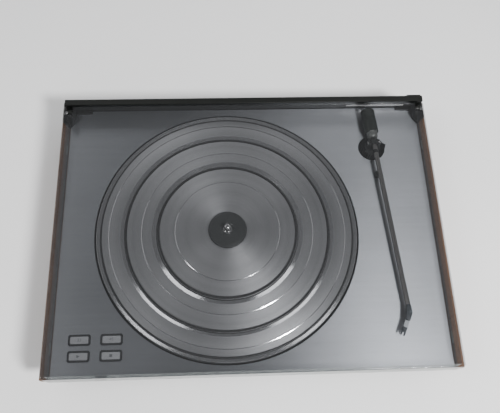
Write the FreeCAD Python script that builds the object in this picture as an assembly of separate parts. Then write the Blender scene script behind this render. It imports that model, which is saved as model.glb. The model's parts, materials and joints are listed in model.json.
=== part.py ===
import FreeCAD, Part
import math
import os

Vector = FreeCAD.Vector

# ---------------------------------------------------------------------------
# Belt-driven record player with a smoked dust cover. Millimetres, +X to the
# right, +Y to the back, +Z up. The drawing below is measured from the centre of
# the metal deck's top face, and save() shifts it so that the origin lands on the
# floor under the middle of the whole object.
# ---------------------------------------------------------------------------

# Overall
DECK_HALF_X = 199.9
DECK_HALF_Y = 150.0
DECK_THICK = 2.0
PANEL_IN_X = 200.0
PANEL_OUT_X = 210.0
BODY_BACK_Y = 167.5
BODY_BOTTOM_Z = -46.0
FLOOR_Z = -54.0
SKIRT_Z = -10.0
FRONT_TOE_Y = -126.0
WALL = 2.5
TRAY_HALF_X = 199.7
TRAY_FLOOR_TOP = BODY_BOTTOM_Z + WALL

# Dust cover
LID_HALF_X = 203.0
LID_FRONT_Y = -152.5
LID_BACK_Y = 142.8
LID_TOP_Z = 22.0
LID_WALL = 3.0
LID_TOP_THICK = 2.4
LID_UNDER_Z = LID_TOP_Z - LID_TOP_THICK
LID_FOOT_Z = 0.6
HINGE_Y = 138.2
HINGE_Z = 17.3
HINGE_PIN_R = 1.5
RUNNING = 0.05
NOTCH_IN_X = 193.6
NOTCH_FRONT_Y = 133.5
CHEEK_IN_X = 194.2
CHEEK_OUT_X = 199.4
EYE_R = 3.4

# Rear rail
RAIL_FRONT_Y = 145.0
RAIL_TOP_BACK_Y = 152.5
RAIL_FOOT_Y = 150.3
RAIL_SEAM_Z = -12.0

# Platter
PLATTER_X = -23.8
PLATTER_Y = 0.1
PLATTER_TOP = 2.4
PLATTER_UNDER = -2.1
PLATTER_R = 139.0
PLATTER_HOLE_R = 141.5
STEP_DOWN = 0.25
HUB_TOP = 5.0
SPINDLE_R = 3.55
SPINDLE_TOP = 15.0
SHAFT_R = 5.0
SHAFT_END = -35.2
BALL_R = 2.0
DRIVE_RIM_R = 62.0
PULLEY_R = 6.2
BELT_GAP = 0.3
BELT_THICK = 0.7
BELT_Z = (-12.5, -7.5)
MOTOR_X = -118.0
MOTOR_Y = 78.0

# Each ring of the platter: the fine step's radius, the groove's radii and floor, and the bevel's
# foot height and outer radius
RINGS = (
    (55.7, (72.4, 75.4, 0.5), 0.5, 80.6),
    (91.2, (106.9, 109.6, 0.5), 0.94, 113.6),
    (125.7, (133.4, 134.8, 0.9), 0.98, 138.7),
)

# Floating chassis
CHASSIS_Z = (-24.0, -22.0)
SPRING_SPOTS = ((-118.0, -52.0), (58.0, -98.0), (60.0, 112.0))
SPRING_R = 7.0
SPRING_WIRE_R = 0.8
SPRING_TURNS = 4.5

# Tonearm: its own frame has the pivot at the origin and the tube along -Y
ARM_X = 143.5
ARM_Y = 97.5
ARM_Z = 10.8
ARM_TURN = 4.52
TUBE_R = 2.6
TUBE_BORE_R = 2.0
TUBE_START_Y = -0.5
TUBE_END_Y = -185.3
TUBE_DROP = 1.9
ARM_HOLE_X = 142.7
ARM_HOLE_Y = 96.7
ARM_HOLE_R = 15.2
KNEE_X = 0.6
KNEE_Y = -193.4
HEAD_TIP_X = -11.5
HEAD_TIP_Y = -215.0
HEAD_Z = (4.8, 9.2)
STYLUS_TIP_Z = 3.5
WEIGHT_R = 7.7
WEIGHT_NOSE_R = 6.0
WEIGHT_NOSE = 7.5
WEIGHT_Y = (5.8, 42.0)
BLOCK_Y = (-2.2, 3.4)
STUB_R = 2.5
STUB_END_Y = 35.5
LIFT_R = 12.2
LIFT_ANGLE = math.radians(-112.0)
LIFT_POST = (ARM_X + LIFT_R * math.cos(LIFT_ANGLE), ARM_Y + LIFT_R * math.sin(LIFT_ANGLE))
LIFT_TOP = ARM_Z - TUBE_R - 0.5
HEAD_HALF = 2.4
BASE_POST_R = 8.0
BUSH_R = 6.0
YOKE_SHAFT_R = 4.0
LEVEL_PIN_R = 1.0
LIFT_ROD_R = 1.5
REST_X = 146.3
REST_Y = 62.5

# Keys: centre, and the name of each
KEYS = {
    "speed_33": (-173.3, -112.5),
    "speed_45": (-141.5, -112.5),
    "start": (-173.3, -128.5),
    "stop": (-141.5, -128.5),
}
FRAME_SIZE = (22.3, 11.3)
KEY_SIZE = (18.0, 7.2)
KEY_STEM_R = 1.7
KEY_TOP = 1.3
KEY_CLEAR = 0.3

# Cable glands in the back wall
GLAND_X = (-150.0, -120.0)
GLAND_Z = -30.0
GLAND_NECK_R = 5.5
GLAND_BORE_R = 3.4

# Circuit boards: low and high side, outline as x0, x1, y0, y1, and screw posts
BOARD_Z = (-38.0, -36.4)
MAIN_BOARD = (128.0, 190.0, -116.0, -6.0)
MAIN_BOARD_HOLES = [(x, y) for x in (133.0, 185.0) for y in (-111.0, -11.0)]
KEY_BOARD_Z = (-14.6, -13.0)
KEY_BOARD = (-192.0, -123.0, -142.0, -100.0)
KEY_BOARD_POSTS = [(x, y) for x in (-188.0, -127.0) for y in (-137.0, -104.0)]
POST_R = 3.2
POST_SCREW_R = 1.5
SCREW_HOLE_R = 1.6

# Motor mounting
MOTOR_CAN_R = 18.0
MOTOR_PLATE_Z = (-17.5, -15.5)
MOTOR_POSTS = [(MOTOR_X + dx, MOTOR_Y + dy) for dx, dy in ((-26.0, 12.0), (26.0, 12.0), (0.0, -28.0))]

# Feet
CORNERS = {
    "front_left": (-168.0, -98.0),
    "front_right": (168.0, -98.0),
    "back_left": (-168.0, 138.0),
    "back_right": (168.0, 138.0),
}
FOOT_R = 15.0
FOOT_BORE_R = 2.2


# ---------------------------------------------------------------------------
# Shape helpers
# ---------------------------------------------------------------------------

def save(node, *solids):
    """Write one node: a solid, or a group of separate solids."""
    shape = solids[0] if len(solids) == 1 else Part.makeCompound(list(solids))
    shape = shape.copy()
    middle_y = (LID_FRONT_Y + BODY_BACK_Y) / 2
    shape.translate(Vector(0, -middle_y, -FLOOR_Z))
    shape.exportStep("parts/" + node + ".step")


def box(x0, x1, y0, y1, z0, z1):
    return Part.makeBox(x1 - x0, y1 - y0, z1 - z0, Vector(x0, y0, z0))


def cyl(r, z0, z1, x=0.0, y=0.0):
    return Part.makeCylinder(r, z1 - z0, Vector(x, y, z0))


def tube(r_out, r_in, z0, z1, x=0.0, y=0.0):
    return cyl(r_out, z0, z1, x, y).cut(cyl(r_in, z0 - 1, z1 + 1, x, y))


def rod_x(r, x0, x1, y, z):
    return Part.makeCylinder(r, x1 - x0, Vector(x0, y, z), Vector(1, 0, 0))


def rod_y(r, y0, y1, x, z):
    return Part.makeCylinder(r, y1 - y0, Vector(x, y0, z), Vector(0, 1, 0))


def plan(points, z0, z1):
    """Extrude an outline of (x, y) points upwards."""
    corners = [Vector(x, y, z0) for x, y in points]
    wire = Part.makePolygon(corners + corners[:1])
    return Part.Face(wire).extrude(Vector(0, 0, z1 - z0))


def profile(points, x0, x1):
    """Extrude an outline of (y, z) points along X."""
    corners = [Vector(x0, y, z) for y, z in points]
    wire = Part.makePolygon(corners + corners[:1])
    return Part.Face(wire).extrude(Vector(x1 - x0, 0, 0))


def turned(points, x=0.0, y=0.0):
    """Turn an outline of (radius, z) points about an upright axis."""
    corners = [Vector(x + r, y, z) for r, z in points]
    wire = Part.makePolygon(corners + corners[:1])
    return Part.Face(wire).revolve(Vector(x, y, 0), Vector(0, 0, 1), 360)


def rounded(cx, cy, size_x, size_y, z0, z1, corner):
    """A block with rounded upright edges."""
    block = box(cx - size_x / 2, cx + size_x / 2, cy - size_y / 2, cy + size_y / 2, z0, z1)
    upright = [edge for edge in block.Edges if abs(edge.tangentAt(0).z) > 0.9]
    return block.makeFillet(corner, upright)


def edges_where(shape, test):
    return [edge for edge in shape.Edges if test(edge.BoundBox)]


def ease(shape, size, test):
    """Chamfer the edges that the test picks."""
    return shape.makeChamfer(size, edges_where(shape, test))


def mirrored(shape):
    return shape.mirror(Vector(0, 0, 0), Vector(1, 0, 0))


def on_arm(shape):
    """Move a shape from the tonearm's own frame to its place on the deck."""
    placed = shape.copy()
    placed.rotate(Vector(0, 0, 0), Vector(0, 0, 1), ARM_TURN)
    placed.translate(Vector(ARM_X, ARM_Y, 0))
    return placed


def belt_loop(r_big, r_small, z0, z1):
    """The filled outline of a belt round two wheels."""
    dx = MOTOR_X - PLATTER_X
    dy = MOTOR_Y - PLATTER_Y
    span = math.hypot(dx, dy)
    along = math.atan2(dy, dx)
    lean = math.acos((r_big - r_small) / span)
    ends = []
    for side in (1, -1):
        angle = along + side * lean
        out = Vector(math.cos(angle), math.sin(angle), 0)
        big = Vector(PLATTER_X, PLATTER_Y, z0) + out * r_big
        small = Vector(MOTOR_X, MOTOR_Y, z0) + out * r_small
        ends.append((big, small))
    toward = Vector(math.cos(along), math.sin(along), 0)
    far_big = Vector(PLATTER_X, PLATTER_Y, z0) - toward * r_big
    far_small = Vector(MOTOR_X, MOTOR_Y, z0) + toward * r_small
    (big_a, small_a), (big_b, small_b) = ends
    edges = [
        Part.LineSegment(big_a, small_a).toShape(),
        Part.Arc(small_a, far_small, small_b).toShape(),
        Part.LineSegment(small_b, big_b).toShape(),
        Part.Arc(big_b, far_big, big_a).toShape(),
    ]
    return Part.Face(Part.Wire(edges)).extrude(Vector(0, 0, z1 - z0))


# ---------------------------------------------------------------------------
# Case
# ---------------------------------------------------------------------------

def base_tray():
    """Moulded tray with a front that slopes back under the deck."""
    inset = 1.0
    back = BODY_BACK_Y - inset
    outline = [
        (-DECK_HALF_Y + inset, -DECK_THICK - 0.3),
        (-DECK_HALF_Y + inset, SKIRT_Z),
        (FRONT_TOE_Y + inset, BODY_BOTTOM_Z),
        (back, BODY_BOTTOM_Z),
        (back, RAIL_SEAM_Z - 0.3),
        (RAIL_FOOT_Y, RAIL_SEAM_Z - 0.3),
        (RAIL_FOOT_Y, -DECK_THICK - 0.3),
    ]
    hollow = [
        (-DECK_HALF_Y + inset + WALL, 5.0),
        (-DECK_HALF_Y + inset + WALL, SKIRT_Z),
        (FRONT_TOE_Y + inset + WALL, TRAY_FLOOR_TOP),
        (back - WALL, TRAY_FLOOR_TOP),
        (back - WALL, 5.0),
    ]
    shell = profile(outline, -TRAY_HALF_X, TRAY_HALF_X)
    shell = shell.cut(profile(hollow, -TRAY_HALF_X + WALL, TRAY_HALF_X - WALL))
    inside = profile(outline, -TRAY_HALF_X, TRAY_HALF_X)
    groups = ((MAIN_BOARD_HOLES, BOARD_Z[0]), (MOTOR_POSTS, MOTOR_PLATE_Z[0]),
              (KEY_BOARD_POSTS, KEY_BOARD_Z[0]))
    for spots, top in groups:
        for x, y in spots:
            post = cyl(POST_R, BODY_BOTTOM_Z, top, x, y).cut(cyl(POST_SCREW_R, top - 1.6, top + 1, x, y))
            shell = shell.fuse(post.common(inside))
    for x in GLAND_X:
        shell = shell.cut(rod_y(GLAND_NECK_R, back - WALL - 5, back + 5, x, GLAND_Z))
    for row in range(6):
        slot_y = -60.0 + row * 12
        shell = shell.cut(box(-70, -10, slot_y, slot_y + 3, BODY_BOTTOM_Z - 1, TRAY_FLOOR_TOP + 1))
    for x, y in CORNERS.values():
        shell = shell.cut(cyl(FOOT_BORE_R, BODY_BOTTOM_Z - 1, TRAY_FLOOR_TOP + 1, x, y))
    return shell.removeSplitter()


def deck_plate():
    """Metal top plate with the openings for platter, tonearm and keys."""
    plate = box(-DECK_HALF_X, DECK_HALF_X, -DECK_HALF_Y, DECK_HALF_Y, -DECK_THICK, 0)
    plate = ease(plate, 0.4, lambda b: b.ZMin > -0.01)
    plate = plate.cut(cyl(PLATTER_HOLE_R, -9, 9, PLATTER_X, PLATTER_Y))
    plate = plate.cut(cyl(ARM_HOLE_R, -9, 9, ARM_HOLE_X, ARM_HOLE_Y))
    pointed_notch = [(153.0, 90.0), (158.0, 96.0), (159.8, 101.5), (154.5, 104.6), (150.0, 100.0)]
    plate = plate.cut(plan(pointed_notch, -9, 9))
    for x, y in KEYS.values():
        opening = rounded(x, y, FRAME_SIZE[0] - 1.0, FRAME_SIZE[1] - 1.0, -9, 9, 2.0)
        plate = plate.cut(opening)
    return plate


def side_panel_right():
    """Wooden side with a mitred back end and the tray's sloping front."""
    outline = [(PANEL_IN_X, -DECK_HALF_Y), (PANEL_OUT_X, -DECK_HALF_Y), (PANEL_OUT_X, 137.0),
               (PANEL_IN_X, 127.3)]
    panel = plan(outline, BODY_BOTTOM_Z, 0)
    front_cut = [(-DECK_HALF_Y - 5, SKIRT_Z), (-DECK_HALF_Y, SKIRT_Z), (FRONT_TOE_Y, BODY_BOTTOM_Z),
                 (FRONT_TOE_Y, BODY_BOTTOM_Z - 5), (-DECK_HALF_Y - 5, BODY_BOTTOM_Z - 5)]
    panel = panel.cut(profile(front_cut, PANEL_IN_X - 1, PANEL_OUT_X + 1))
    return ease(panel, 0.8, lambda b: b.XMin > PANEL_OUT_X - 0.01 and b.YLength > 100)


def corner_cap_right():
    """Plastic corner behind the wooden side."""
    outline = [(PANEL_IN_X, 127.5), (PANEL_OUT_X, 137.2), (PANEL_OUT_X, BODY_BACK_Y),
               (PANEL_IN_X, BODY_BACK_Y)]
    cap = plan(outline, BODY_BOTTOM_Z, 0)
    slope = [(rail_back_y(0), 0.0), (BODY_BACK_Y, RAIL_SEAM_Z), (BODY_BACK_Y + 5, RAIL_SEAM_Z),
             (BODY_BACK_Y + 5, 5.0), (rail_back_y(0), 5.0)]
    cap = cap.cut(profile(slope, PANEL_IN_X - 1, PANEL_OUT_X + 1))
    return ease(cap, 1.2, lambda b: b.XMin > PANEL_OUT_X - 0.01 and b.YMin > BODY_BACK_Y - 0.01)


def rail_back_y(z):
    """The sloping back face of the rail at height z."""
    slope = (BODY_BACK_Y - RAIL_TOP_BACK_Y) / (LID_TOP_Z - RAIL_SEAM_Z)
    return RAIL_TOP_BACK_Y + (LID_TOP_Z - z) * slope


def rail_front_y(z):
    """The overhanging front face of the rail at height z."""
    return RAIL_FRONT_Y + (LID_TOP_Z - z) * (RAIL_FOOT_Y - RAIL_FRONT_Y) / LID_TOP_Z


def rear_rail():
    """Hollow rail behind the cover, which carries the hinges, with a raised cap at its right end."""
    upper = [(RAIL_FRONT_Y, LID_TOP_Z), (RAIL_TOP_BACK_Y, LID_TOP_Z), (rail_back_y(0.1), 0.1),
             (RAIL_FOOT_Y, 0.1)]
    lower = [(rail_back_y(0.2), 0.2), (BODY_BACK_Y, RAIL_SEAM_Z), (RAIL_FOOT_Y, RAIL_SEAM_Z),
             (RAIL_FOOT_Y, 0.2)]
    hollow = [(rail_front_y(19.5) + WALL, 19.5), (rail_back_y(19.5) - WALL, 19.5),
              (rail_back_y(RAIL_SEAM_Z) - WALL, RAIL_SEAM_Z - 1), (RAIL_FOOT_Y + WALL, RAIL_SEAM_Z - 1),
              (RAIL_FOOT_Y + WALL, 0.0)]
    end_cap = [(RAIL_TOP_BACK_Y - 2, 21.6), (RAIL_TOP_BACK_Y + 1.4, 21.6), (rail_back_y(15) + 0.8, 15),
               (RAIL_TOP_BACK_Y - 2, 15)]
    rail = profile(upper, -LID_HALF_X, LID_HALF_X).fuse(profile(lower, -TRAY_HALF_X, TRAY_HALF_X))
    rail = ease(rail.removeSplitter(), 0.8, lambda b: b.ZMin > LID_TOP_Z - 0.01 and b.XLength > 100)
    rail = rail.fuse(profile(end_cap, LID_HALF_X - 17, LID_HALF_X - 1.5)).removeSplitter()
    return rail.cut(profile(hollow, -TRAY_HALF_X + WALL, TRAY_HALF_X - WALL))


def hinge_cheek_right():
    """Upright ear of the hinge, slanted inside, with a gusset spread over the corner of the deck."""
    back_y = rail_front_y(3.2) - 0.1
    outline = [(129.0, 0.1), (HINGE_Y - EYE_R, HINGE_Z - 3.0), (HINGE_Y + EYE_R, HINGE_Z - 1.5),
               (rail_front_y(7.0) - 0.1, 7.0), (back_y, 3.2), (back_y, 0.1)]
    ear = profile(outline, CHEEK_IN_X, CHEEK_OUT_X)
    slant = [(CHEEK_IN_X - 1, 120.0), (CHEEK_OUT_X - 0.8, 120.0), (CHEEK_OUT_X - 0.8, 128.6),
             (CHEEK_IN_X, HINGE_Y - EYE_R), (CHEEK_IN_X - 1, HINGE_Y - EYE_R)]
    ear = ear.cut(plan(slant, 0.0, LID_TOP_Z))
    ear = ear.fuse(rod_x(EYE_R, CHEEK_IN_X, CHEEK_OUT_X, HINGE_Y, HINGE_Z))
    gusset = plan([(CHEEK_OUT_X, 128.0), (CHEEK_OUT_X, back_y), (176.0, back_y), (176.0, 146.2),
                   (192.0, 145.4)], 0.1, 3.2)
    ear = ear.fuse(gusset).removeSplitter()
    return ear.cut(rod_x(HINGE_PIN_R + RUNNING, CHEEK_IN_X - 1, CHEEK_OUT_X + 1, HINGE_Y, HINGE_Z))


def arm_recess_trim():
    """Bright strip on the rail's front face, behind the counterweight."""
    low = 8.6
    high = 11.2
    proud = 0.6
    points = [(rail_front_y(low), low), (rail_front_y(high), high),
              (rail_front_y(high) - proud, high), (rail_front_y(low) - proud, low)]
    return profile(points, 116.5, 183.5)


def feet():
    """Four rubber feet, each with its screw hole."""
    for corner, (x, y) in CORNERS.items():
        points = [(FOOT_BORE_R, FLOOR_Z + 4), (6.5, FLOOR_Z + 4), (6.5, FLOOR_Z), (FOOT_R - 2.0, FLOOR_Z),
                  (FOOT_R, FLOOR_Z + 2.5), (FOOT_R - 1.0, BODY_BOTTOM_Z), (FOOT_BORE_R, BODY_BOTTOM_Z)]
        save("foot_" + corner, turned(points, x, y))


def foot_screws():
    screws = []
    for x, y in CORNERS.values():
        head = cyl(3.6, FLOOR_Z + 1.8, FLOOR_Z + 4, x, y)
        slot = box(x - 3, x + 3, y - 0.5, y + 0.5, FLOOR_Z + 1, FLOOR_Z + 2.6)
        shank = cyl(2.0, FLOOR_Z + 4, TRAY_FLOOR_TOP, x, y)
        screws.append(head.cut(slot).fuse(shank).removeSplitter())
    return screws


def cable_gland(x):
    """Rubber gland in the back wall, with a flange on each side of it."""
    outside = BODY_BACK_Y - 1.0
    inside = outside - WALL
    body = rod_y(GLAND_NECK_R, inside - 2.5, outside + 1.0, x, GLAND_Z)
    body = body.fuse(rod_y(8.0, outside, outside + 1.0, x, GLAND_Z))
    body = body.fuse(rod_y(7.5, inside - 2.5, inside, x, GLAND_Z))
    body = body.fuse(rod_y(5.0, inside - 2.5 - 3.0, inside - 2.5, x, GLAND_Z))
    bore = rod_y(GLAND_BORE_R, inside - 9, outside + 9, x, GLAND_Z)
    return body.removeSplitter().cut(bore)


# ---------------------------------------------------------------------------
# Electrics
# ---------------------------------------------------------------------------

def main_board():
    x0, x1, y0, y1 = MAIN_BOARD
    board = box(x0, x1, y0, y1, *BOARD_Z)
    for x, y in MAIN_BOARD_HOLES:
        board = board.cut(cyl(SCREW_HOLE_R, BOARD_Z[0] - 1, BOARD_Z[1] + 1, x, y))
    return board


def board_capacitors():
    top = BOARD_Z[1]
    spots = [(145, -95, 6.5, 18), (163, -95, 6.5, 18), (145, -78, 4, 11), (156, -78, 4, 11),
             (180, -40, 3, 7), (180, -30, 3, 7), (180, -20, 3, 7)]
    cans = []
    for x, y, r, height in spots:
        can = cyl(r, top, top + height, x, y)
        cans.append(ease(can, 0.6, lambda b: b.ZMin > top + height - 0.1))
    return cans


def board_chips():
    top = BOARD_Z[1]
    chips = []
    for x, y, size_x, size_y in ((150, -50, 8, 20), (166, -50, 8, 20), (150, -22, 8, 16)):
        body = box(x - size_x / 2, x + size_x / 2, y - size_y / 2, y + size_y / 2, top + 0.6, top + 4)
        for step in range(int(size_y / 2.54)):
            pin_y = y - size_y / 2 + 1.27 + step * 2.54
            for side in (-1, 1):
                pin_x = x + side * (size_x / 2 + 0.1)
                body = body.fuse(box(pin_x - 0.3, pin_x + 0.3, pin_y - 0.3, pin_y + 0.3, top, top + 2.2))
        chips.append(body)
    return chips


def heat_sink():
    top = BOARD_Z[1]
    sink = box(134, 176, -67, -65, top, top + 20)
    for step in range(8):
        x = 135.0 + step * 5.4
        sink = sink.fuse(box(x, x + 1.4, -65, -60, top, top + 20))
    return sink.removeSplitter()


def transformer_core():
    """Laminated core with a window for the winding."""
    core = box(-194, -150, 112, 144, TRAY_FLOOR_TOP, -10.5)
    window_z = (TRAY_FLOOR_TOP + 8, -18.5)
    core = core.cut(box(-187, -178, 100, 156, *window_z))
    return core.cut(box(-166, -157, 100, 156, *window_z))


def transformer_winding():
    low = TRAY_FLOOR_TOP + 8.3
    high = -18.8
    coil = rounded(-172, 128, 29.0, 42.0, low, high, 4.0)
    return coil.cut(box(-178, -166, 111.8, 144.2, low - 1, high + 1))


def motor_can():
    can = cyl(MOTOR_CAN_R, TRAY_FLOOR_TOP + 0.4, MOTOR_PLATE_Z[0], MOTOR_X, MOTOR_Y)
    can = ease(can, 1.2, lambda b: b.ZMax < TRAY_FLOOR_TOP + 1)
    return can.cut(cyl(1.6, TRAY_FLOOR_TOP + 5, 0, MOTOR_X, MOTOR_Y))


def motor_plate():
    points = [(MOTOR_X - 32, MOTOR_Y + 18), (MOTOR_X + 32, MOTOR_Y + 18), (MOTOR_X + 32, MOTOR_Y + 4),
              (MOTOR_X + 7, MOTOR_Y - 34), (MOTOR_X - 7, MOTOR_Y - 34), (MOTOR_X - 32, MOTOR_Y + 4)]
    plate = plan(points, *MOTOR_PLATE_Z)
    plate = plate.cut(cyl(4.0, -30, 0, MOTOR_X, MOTOR_Y))
    for x, y in MOTOR_POSTS:
        plate = plate.cut(cyl(SCREW_HOLE_R, -30, 0, x, y))
    return plate


def inner_screws():
    """Pan-head screws of the motor plate and the circuit boards."""
    screws = []
    groups = ((MOTOR_POSTS, MOTOR_PLATE_Z[1]), (MAIN_BOARD_HOLES, BOARD_Z[1]),
              (KEY_BOARD_POSTS, KEY_BOARD_Z[1]))
    for spots, seat in groups:
        for x, y in spots:
            head = cyl(2.7, seat, seat + 1.8, x, y)
            head = head.cut(box(x - 3, x + 3, y - 0.4, y + 0.4, seat + 1.0, seat + 3))
            screws.append(head.fuse(cyl(POST_SCREW_R, seat - 1.6, seat, x, y)).removeSplitter())
    return screws


def motor_pulley():
    """Pulley on the motor's shaft."""
    shaft_foot = TRAY_FLOOR_TOP + 6
    groove = (BELT_Z[0] - 0.6, BELT_Z[1] + 0.6)
    rim = PULLEY_R + 1.6
    points = [(0.0, shaft_foot), (1.5, shaft_foot), (1.5, groove[0] - 0.9), (rim, groove[0] - 0.9),
              (rim, groove[0]), (PULLEY_R, groove[0]), (PULLEY_R, groove[1]), (rim, groove[1]),
              (rim, groove[1] + 0.9), (1.5, groove[1] + 0.9), (1.5, groove[1] + 1.3),
              (0.0, groove[1] + 1.3)]
    return turned(points, MOTOR_X, MOTOR_Y)


def drive_belt():
    outer = BELT_GAP + BELT_THICK
    loop = belt_loop(DRIVE_RIM_R + outer, PULLEY_R + outer, *BELT_Z)
    inside = belt_loop(DRIVE_RIM_R + BELT_GAP, PULLEY_R + BELT_GAP, BELT_Z[0] - 1, BELT_Z[1] + 1)
    return loop.cut(inside)


def key_board():
    x0, x1, y0, y1 = KEY_BOARD
    board = box(x0, x1, y0, y1, *KEY_BOARD_Z)
    for x, y in KEY_BOARD_POSTS:
        board = board.cut(cyl(SCREW_HOLE_R, -30, 0, x, y))
    return board


def key_switches():
    top = KEY_BOARD_Z[1]
    switches = []
    for x, y in KEYS.values():
        housing = box(x - 3.2, x + 3.2, y - 3.2, y + 3.2, top, top + 3.0)
        switches.append(housing.fuse(cyl(1.6, top + 3.0, top + 3.5, x, y)).removeSplitter())
    return switches


def key_frame(x, y):
    """Frame in the deck that a key slides in."""
    flange = rounded(x, y, FRAME_SIZE[0], FRAME_SIZE[1], 0, 0.7, 2.4)
    neck = rounded(x, y, FRAME_SIZE[0] - 1.1, FRAME_SIZE[1] - 1.1, -4.5, 0, 1.9)
    opening = rounded(x, y, KEY_SIZE[0] + 2 * KEY_CLEAR, KEY_SIZE[1] + 2 * KEY_CLEAR, -9, 9, 1.5)
    return flange.fuse(neck).removeSplitter().cut(opening)


def key_cap(x, y):
    """Key with a crowned top, a stop collar under the frame and a stem."""
    cap = rounded(x, y, KEY_SIZE[0], KEY_SIZE[1], -6.5, KEY_TOP, 1.2)
    cap = cap.makeFillet(0.5, edges_where(cap, lambda b: b.ZMin > KEY_TOP - 0.01))
    hollow = rounded(x, y, KEY_SIZE[0] - 3, KEY_SIZE[1] - 3, -7, -1.2, 0.8)
    collar = rounded(x, y, KEY_SIZE[0] + 1.6, KEY_SIZE[1] + 1.0, -6.5, -5.0, 1.2)
    cap = cap.fuse(collar).cut(hollow)
    cap = cap.fuse(cyl(KEY_STEM_R, -7.6, -0.8, x, y))
    return cap.removeSplitter()


# ---------------------------------------------------------------------------
# Floating chassis, bearing and platter
# ---------------------------------------------------------------------------

def sub_chassis():
    """Pressed plate that hangs on three springs and carries bearing and arm."""
    points = [(-132.0, -66.0), (-104.0, -72.0), (50.0, -114.0), (74.0, -106.0), (92.0, -30.0),
              (162.0, 78.0), (162.0, 112.0), (130.0, 120.0), (78.0, 128.0), (46.0, 126.0),
              (-40.0, 40.0), (-132.0, -38.0)]
    plate = plan(points, *CHASSIS_Z)
    plate = plate.cut(cyl(9.2, -30, 0, PLATTER_X, PLATTER_Y))
    for x, y, r in ((38.0, 48.0, 22.0), (34.0, -48.0, 24.0), (-78.0, -36.0, 13.0), (92.0, 72.0, 16.0)):
        plate = plate.cut(cyl(r, -30, 0, x, y))
    for x, y in SPRING_SPOTS:
        plate = plate.cut(cyl(3.5, -30, 0, x, y))
    for x, y in bearing_screw_spots():
        plate = plate.cut(cyl(1.8, -30, 0, x, y))
    return plate.cut(cyl(1.8, -30, 0, *LIFT_POST))


def bearing_screw_spots():
    spots = []
    for step in range(3):
        angle = math.radians(90 + 120 * step)
        spots.append((PLATTER_X + 15.0 * math.cos(angle), PLATTER_Y + 15.0 * math.sin(angle)))
    return spots


def bearing_housing():
    points = [(0.0, -41.8), (9.0, -41.8), (9.0, CHASSIS_Z[1]), (20.0, CHASSIS_Z[1]), (20.0, -19.5),
              (9.0, -19.5), (9.0, -17.2), (7.5, -17.2), (7.5, -39.5), (0.0, -39.5)]
    housing = turned(points, PLATTER_X, PLATTER_Y)
    for x, y in bearing_screw_spots():
        housing = housing.cut(cyl(1.8, -30, 0, x, y))
    return housing


def bearing_screws():
    screws = []
    for x, y in bearing_screw_spots():
        shank = cyl(1.7, CHASSIS_Z[0] - 1.5, -19.5, x, y)
        screws.append(shank.fuse(cyl(2.8, -19.5, -17.8, x, y)).removeSplitter())
    return screws


def spring_posts():
    """Seats on the tray with a guide rod up through each spring."""
    posts = []
    for x, y in SPRING_SPOTS:
        seat = cyl(9.5, TRAY_FLOOR_TOP, TRAY_FLOOR_TOP + 2, x, y)
        rod = cyl(2.0, TRAY_FLOOR_TOP + 2, -17.0, x, y)
        stop = cyl(6.0, -19.0, -17.0, x, y)
        posts.append(seat.fuse(rod).fuse(stop).removeSplitter())
    return posts


def suspension_springs():
    """Coil springs of round wire, each swept along its helix."""
    low = TRAY_FLOOR_TOP + 2 + SPRING_WIRE_R
    height = CHASSIS_Z[0] - SPRING_WIRE_R - low
    quarters = []
    for start in (0, 90, 180, 270):
        centre = Vector(SPRING_R, 0, 0)
        quarters.append(Part.makeCircle(SPRING_WIRE_R, centre, Vector(0, 1, 0), start, start + 90))
    section = Part.Wire(quarters)
    springs = []
    for x, y in SPRING_SPOTS:
        path = Part.makeHelix(height / SPRING_TURNS, height, SPRING_R)
        spring = Part.Wire(path).makePipeShell([section], True, True)
        spring.translate(Vector(x, y, low))
        springs.append(spring)
    return springs


def sub_platter():
    """Moulded drive wheel under the platter, with the rim the belt runs on."""
    points = [(SHAFT_R, -16.5), (11.0, -16.5), (11.0, -5.0), (57.0, -5.0), (57.0, -13.6),
              (DRIVE_RIM_R, -13.6), (DRIVE_RIM_R, -4.8), (66.0, -4.8), (66.0, PLATTER_UNDER),
              (SHAFT_R, PLATTER_UNDER)]
    return turned(points, PLATTER_X, PLATTER_Y)


def platter():
    """Turned aluminium disc: three lands, each behind a groove and a rising bevel, with a fine step."""
    top = PLATTER_TOP
    low = top - STEP_DOWN
    bore = SHAFT_R + 0.1
    points = [(bore, PLATTER_UNDER), (bore, top - 1.0), (20.6, top - 1.0), (20.6, top)]
    for step_r, groove, bevel_foot, bevel_end in RINGS:
        floor = groove[2]
        points += [(step_r, top), (step_r + 0.7, low), (groove[0], low), (groove[0], floor),
                   (groove[1], floor), (groove[1], bevel_foot), (bevel_end, top)]
    points += [(PLATTER_R, top - 0.3), (PLATTER_R, -7.5), (135.0, -7.5), (132.0, PLATTER_UNDER)]
    return turned(points, PLATTER_X, PLATTER_Y)


def platter_ring(r_in, r_out, low, high):
    ring = tube(r_out, r_in, low, high, PLATTER_X, PLATTER_Y)
    return ease(ring, 0.25, lambda b: b.ZMin > high - 0.01)


def hub_cap():
    points = [(SHAFT_R, 1.4), (20.2, 1.4), (20.2, HUB_TOP - 0.6), (19.6, HUB_TOP), (7.2, HUB_TOP),
              (6.4, HUB_TOP - 0.6), (SHAFT_R, HUB_TOP - 0.6)]
    return turned(points, PLATTER_X, PLATTER_Y)


def spindle():
    """Bearing shaft that ends in the pin for the record's hole."""
    points = [(0.0, SHAFT_END), (SHAFT_R, SHAFT_END), (SHAFT_R, HUB_TOP - 0.8),
              (SHAFT_R - 0.3, HUB_TOP - 0.5), (SPINDLE_R, HUB_TOP - 0.5), (SPINDLE_R, SPINDLE_TOP - 2.4),
              (SPINDLE_R - 0.9, SPINDLE_TOP - 0.7), (SPINDLE_R - 2.2, SPINDLE_TOP), (0.0, SPINDLE_TOP)]
    return turned(points, PLATTER_X, PLATTER_Y)


# ---------------------------------------------------------------------------
# Tonearm
# ---------------------------------------------------------------------------

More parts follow.
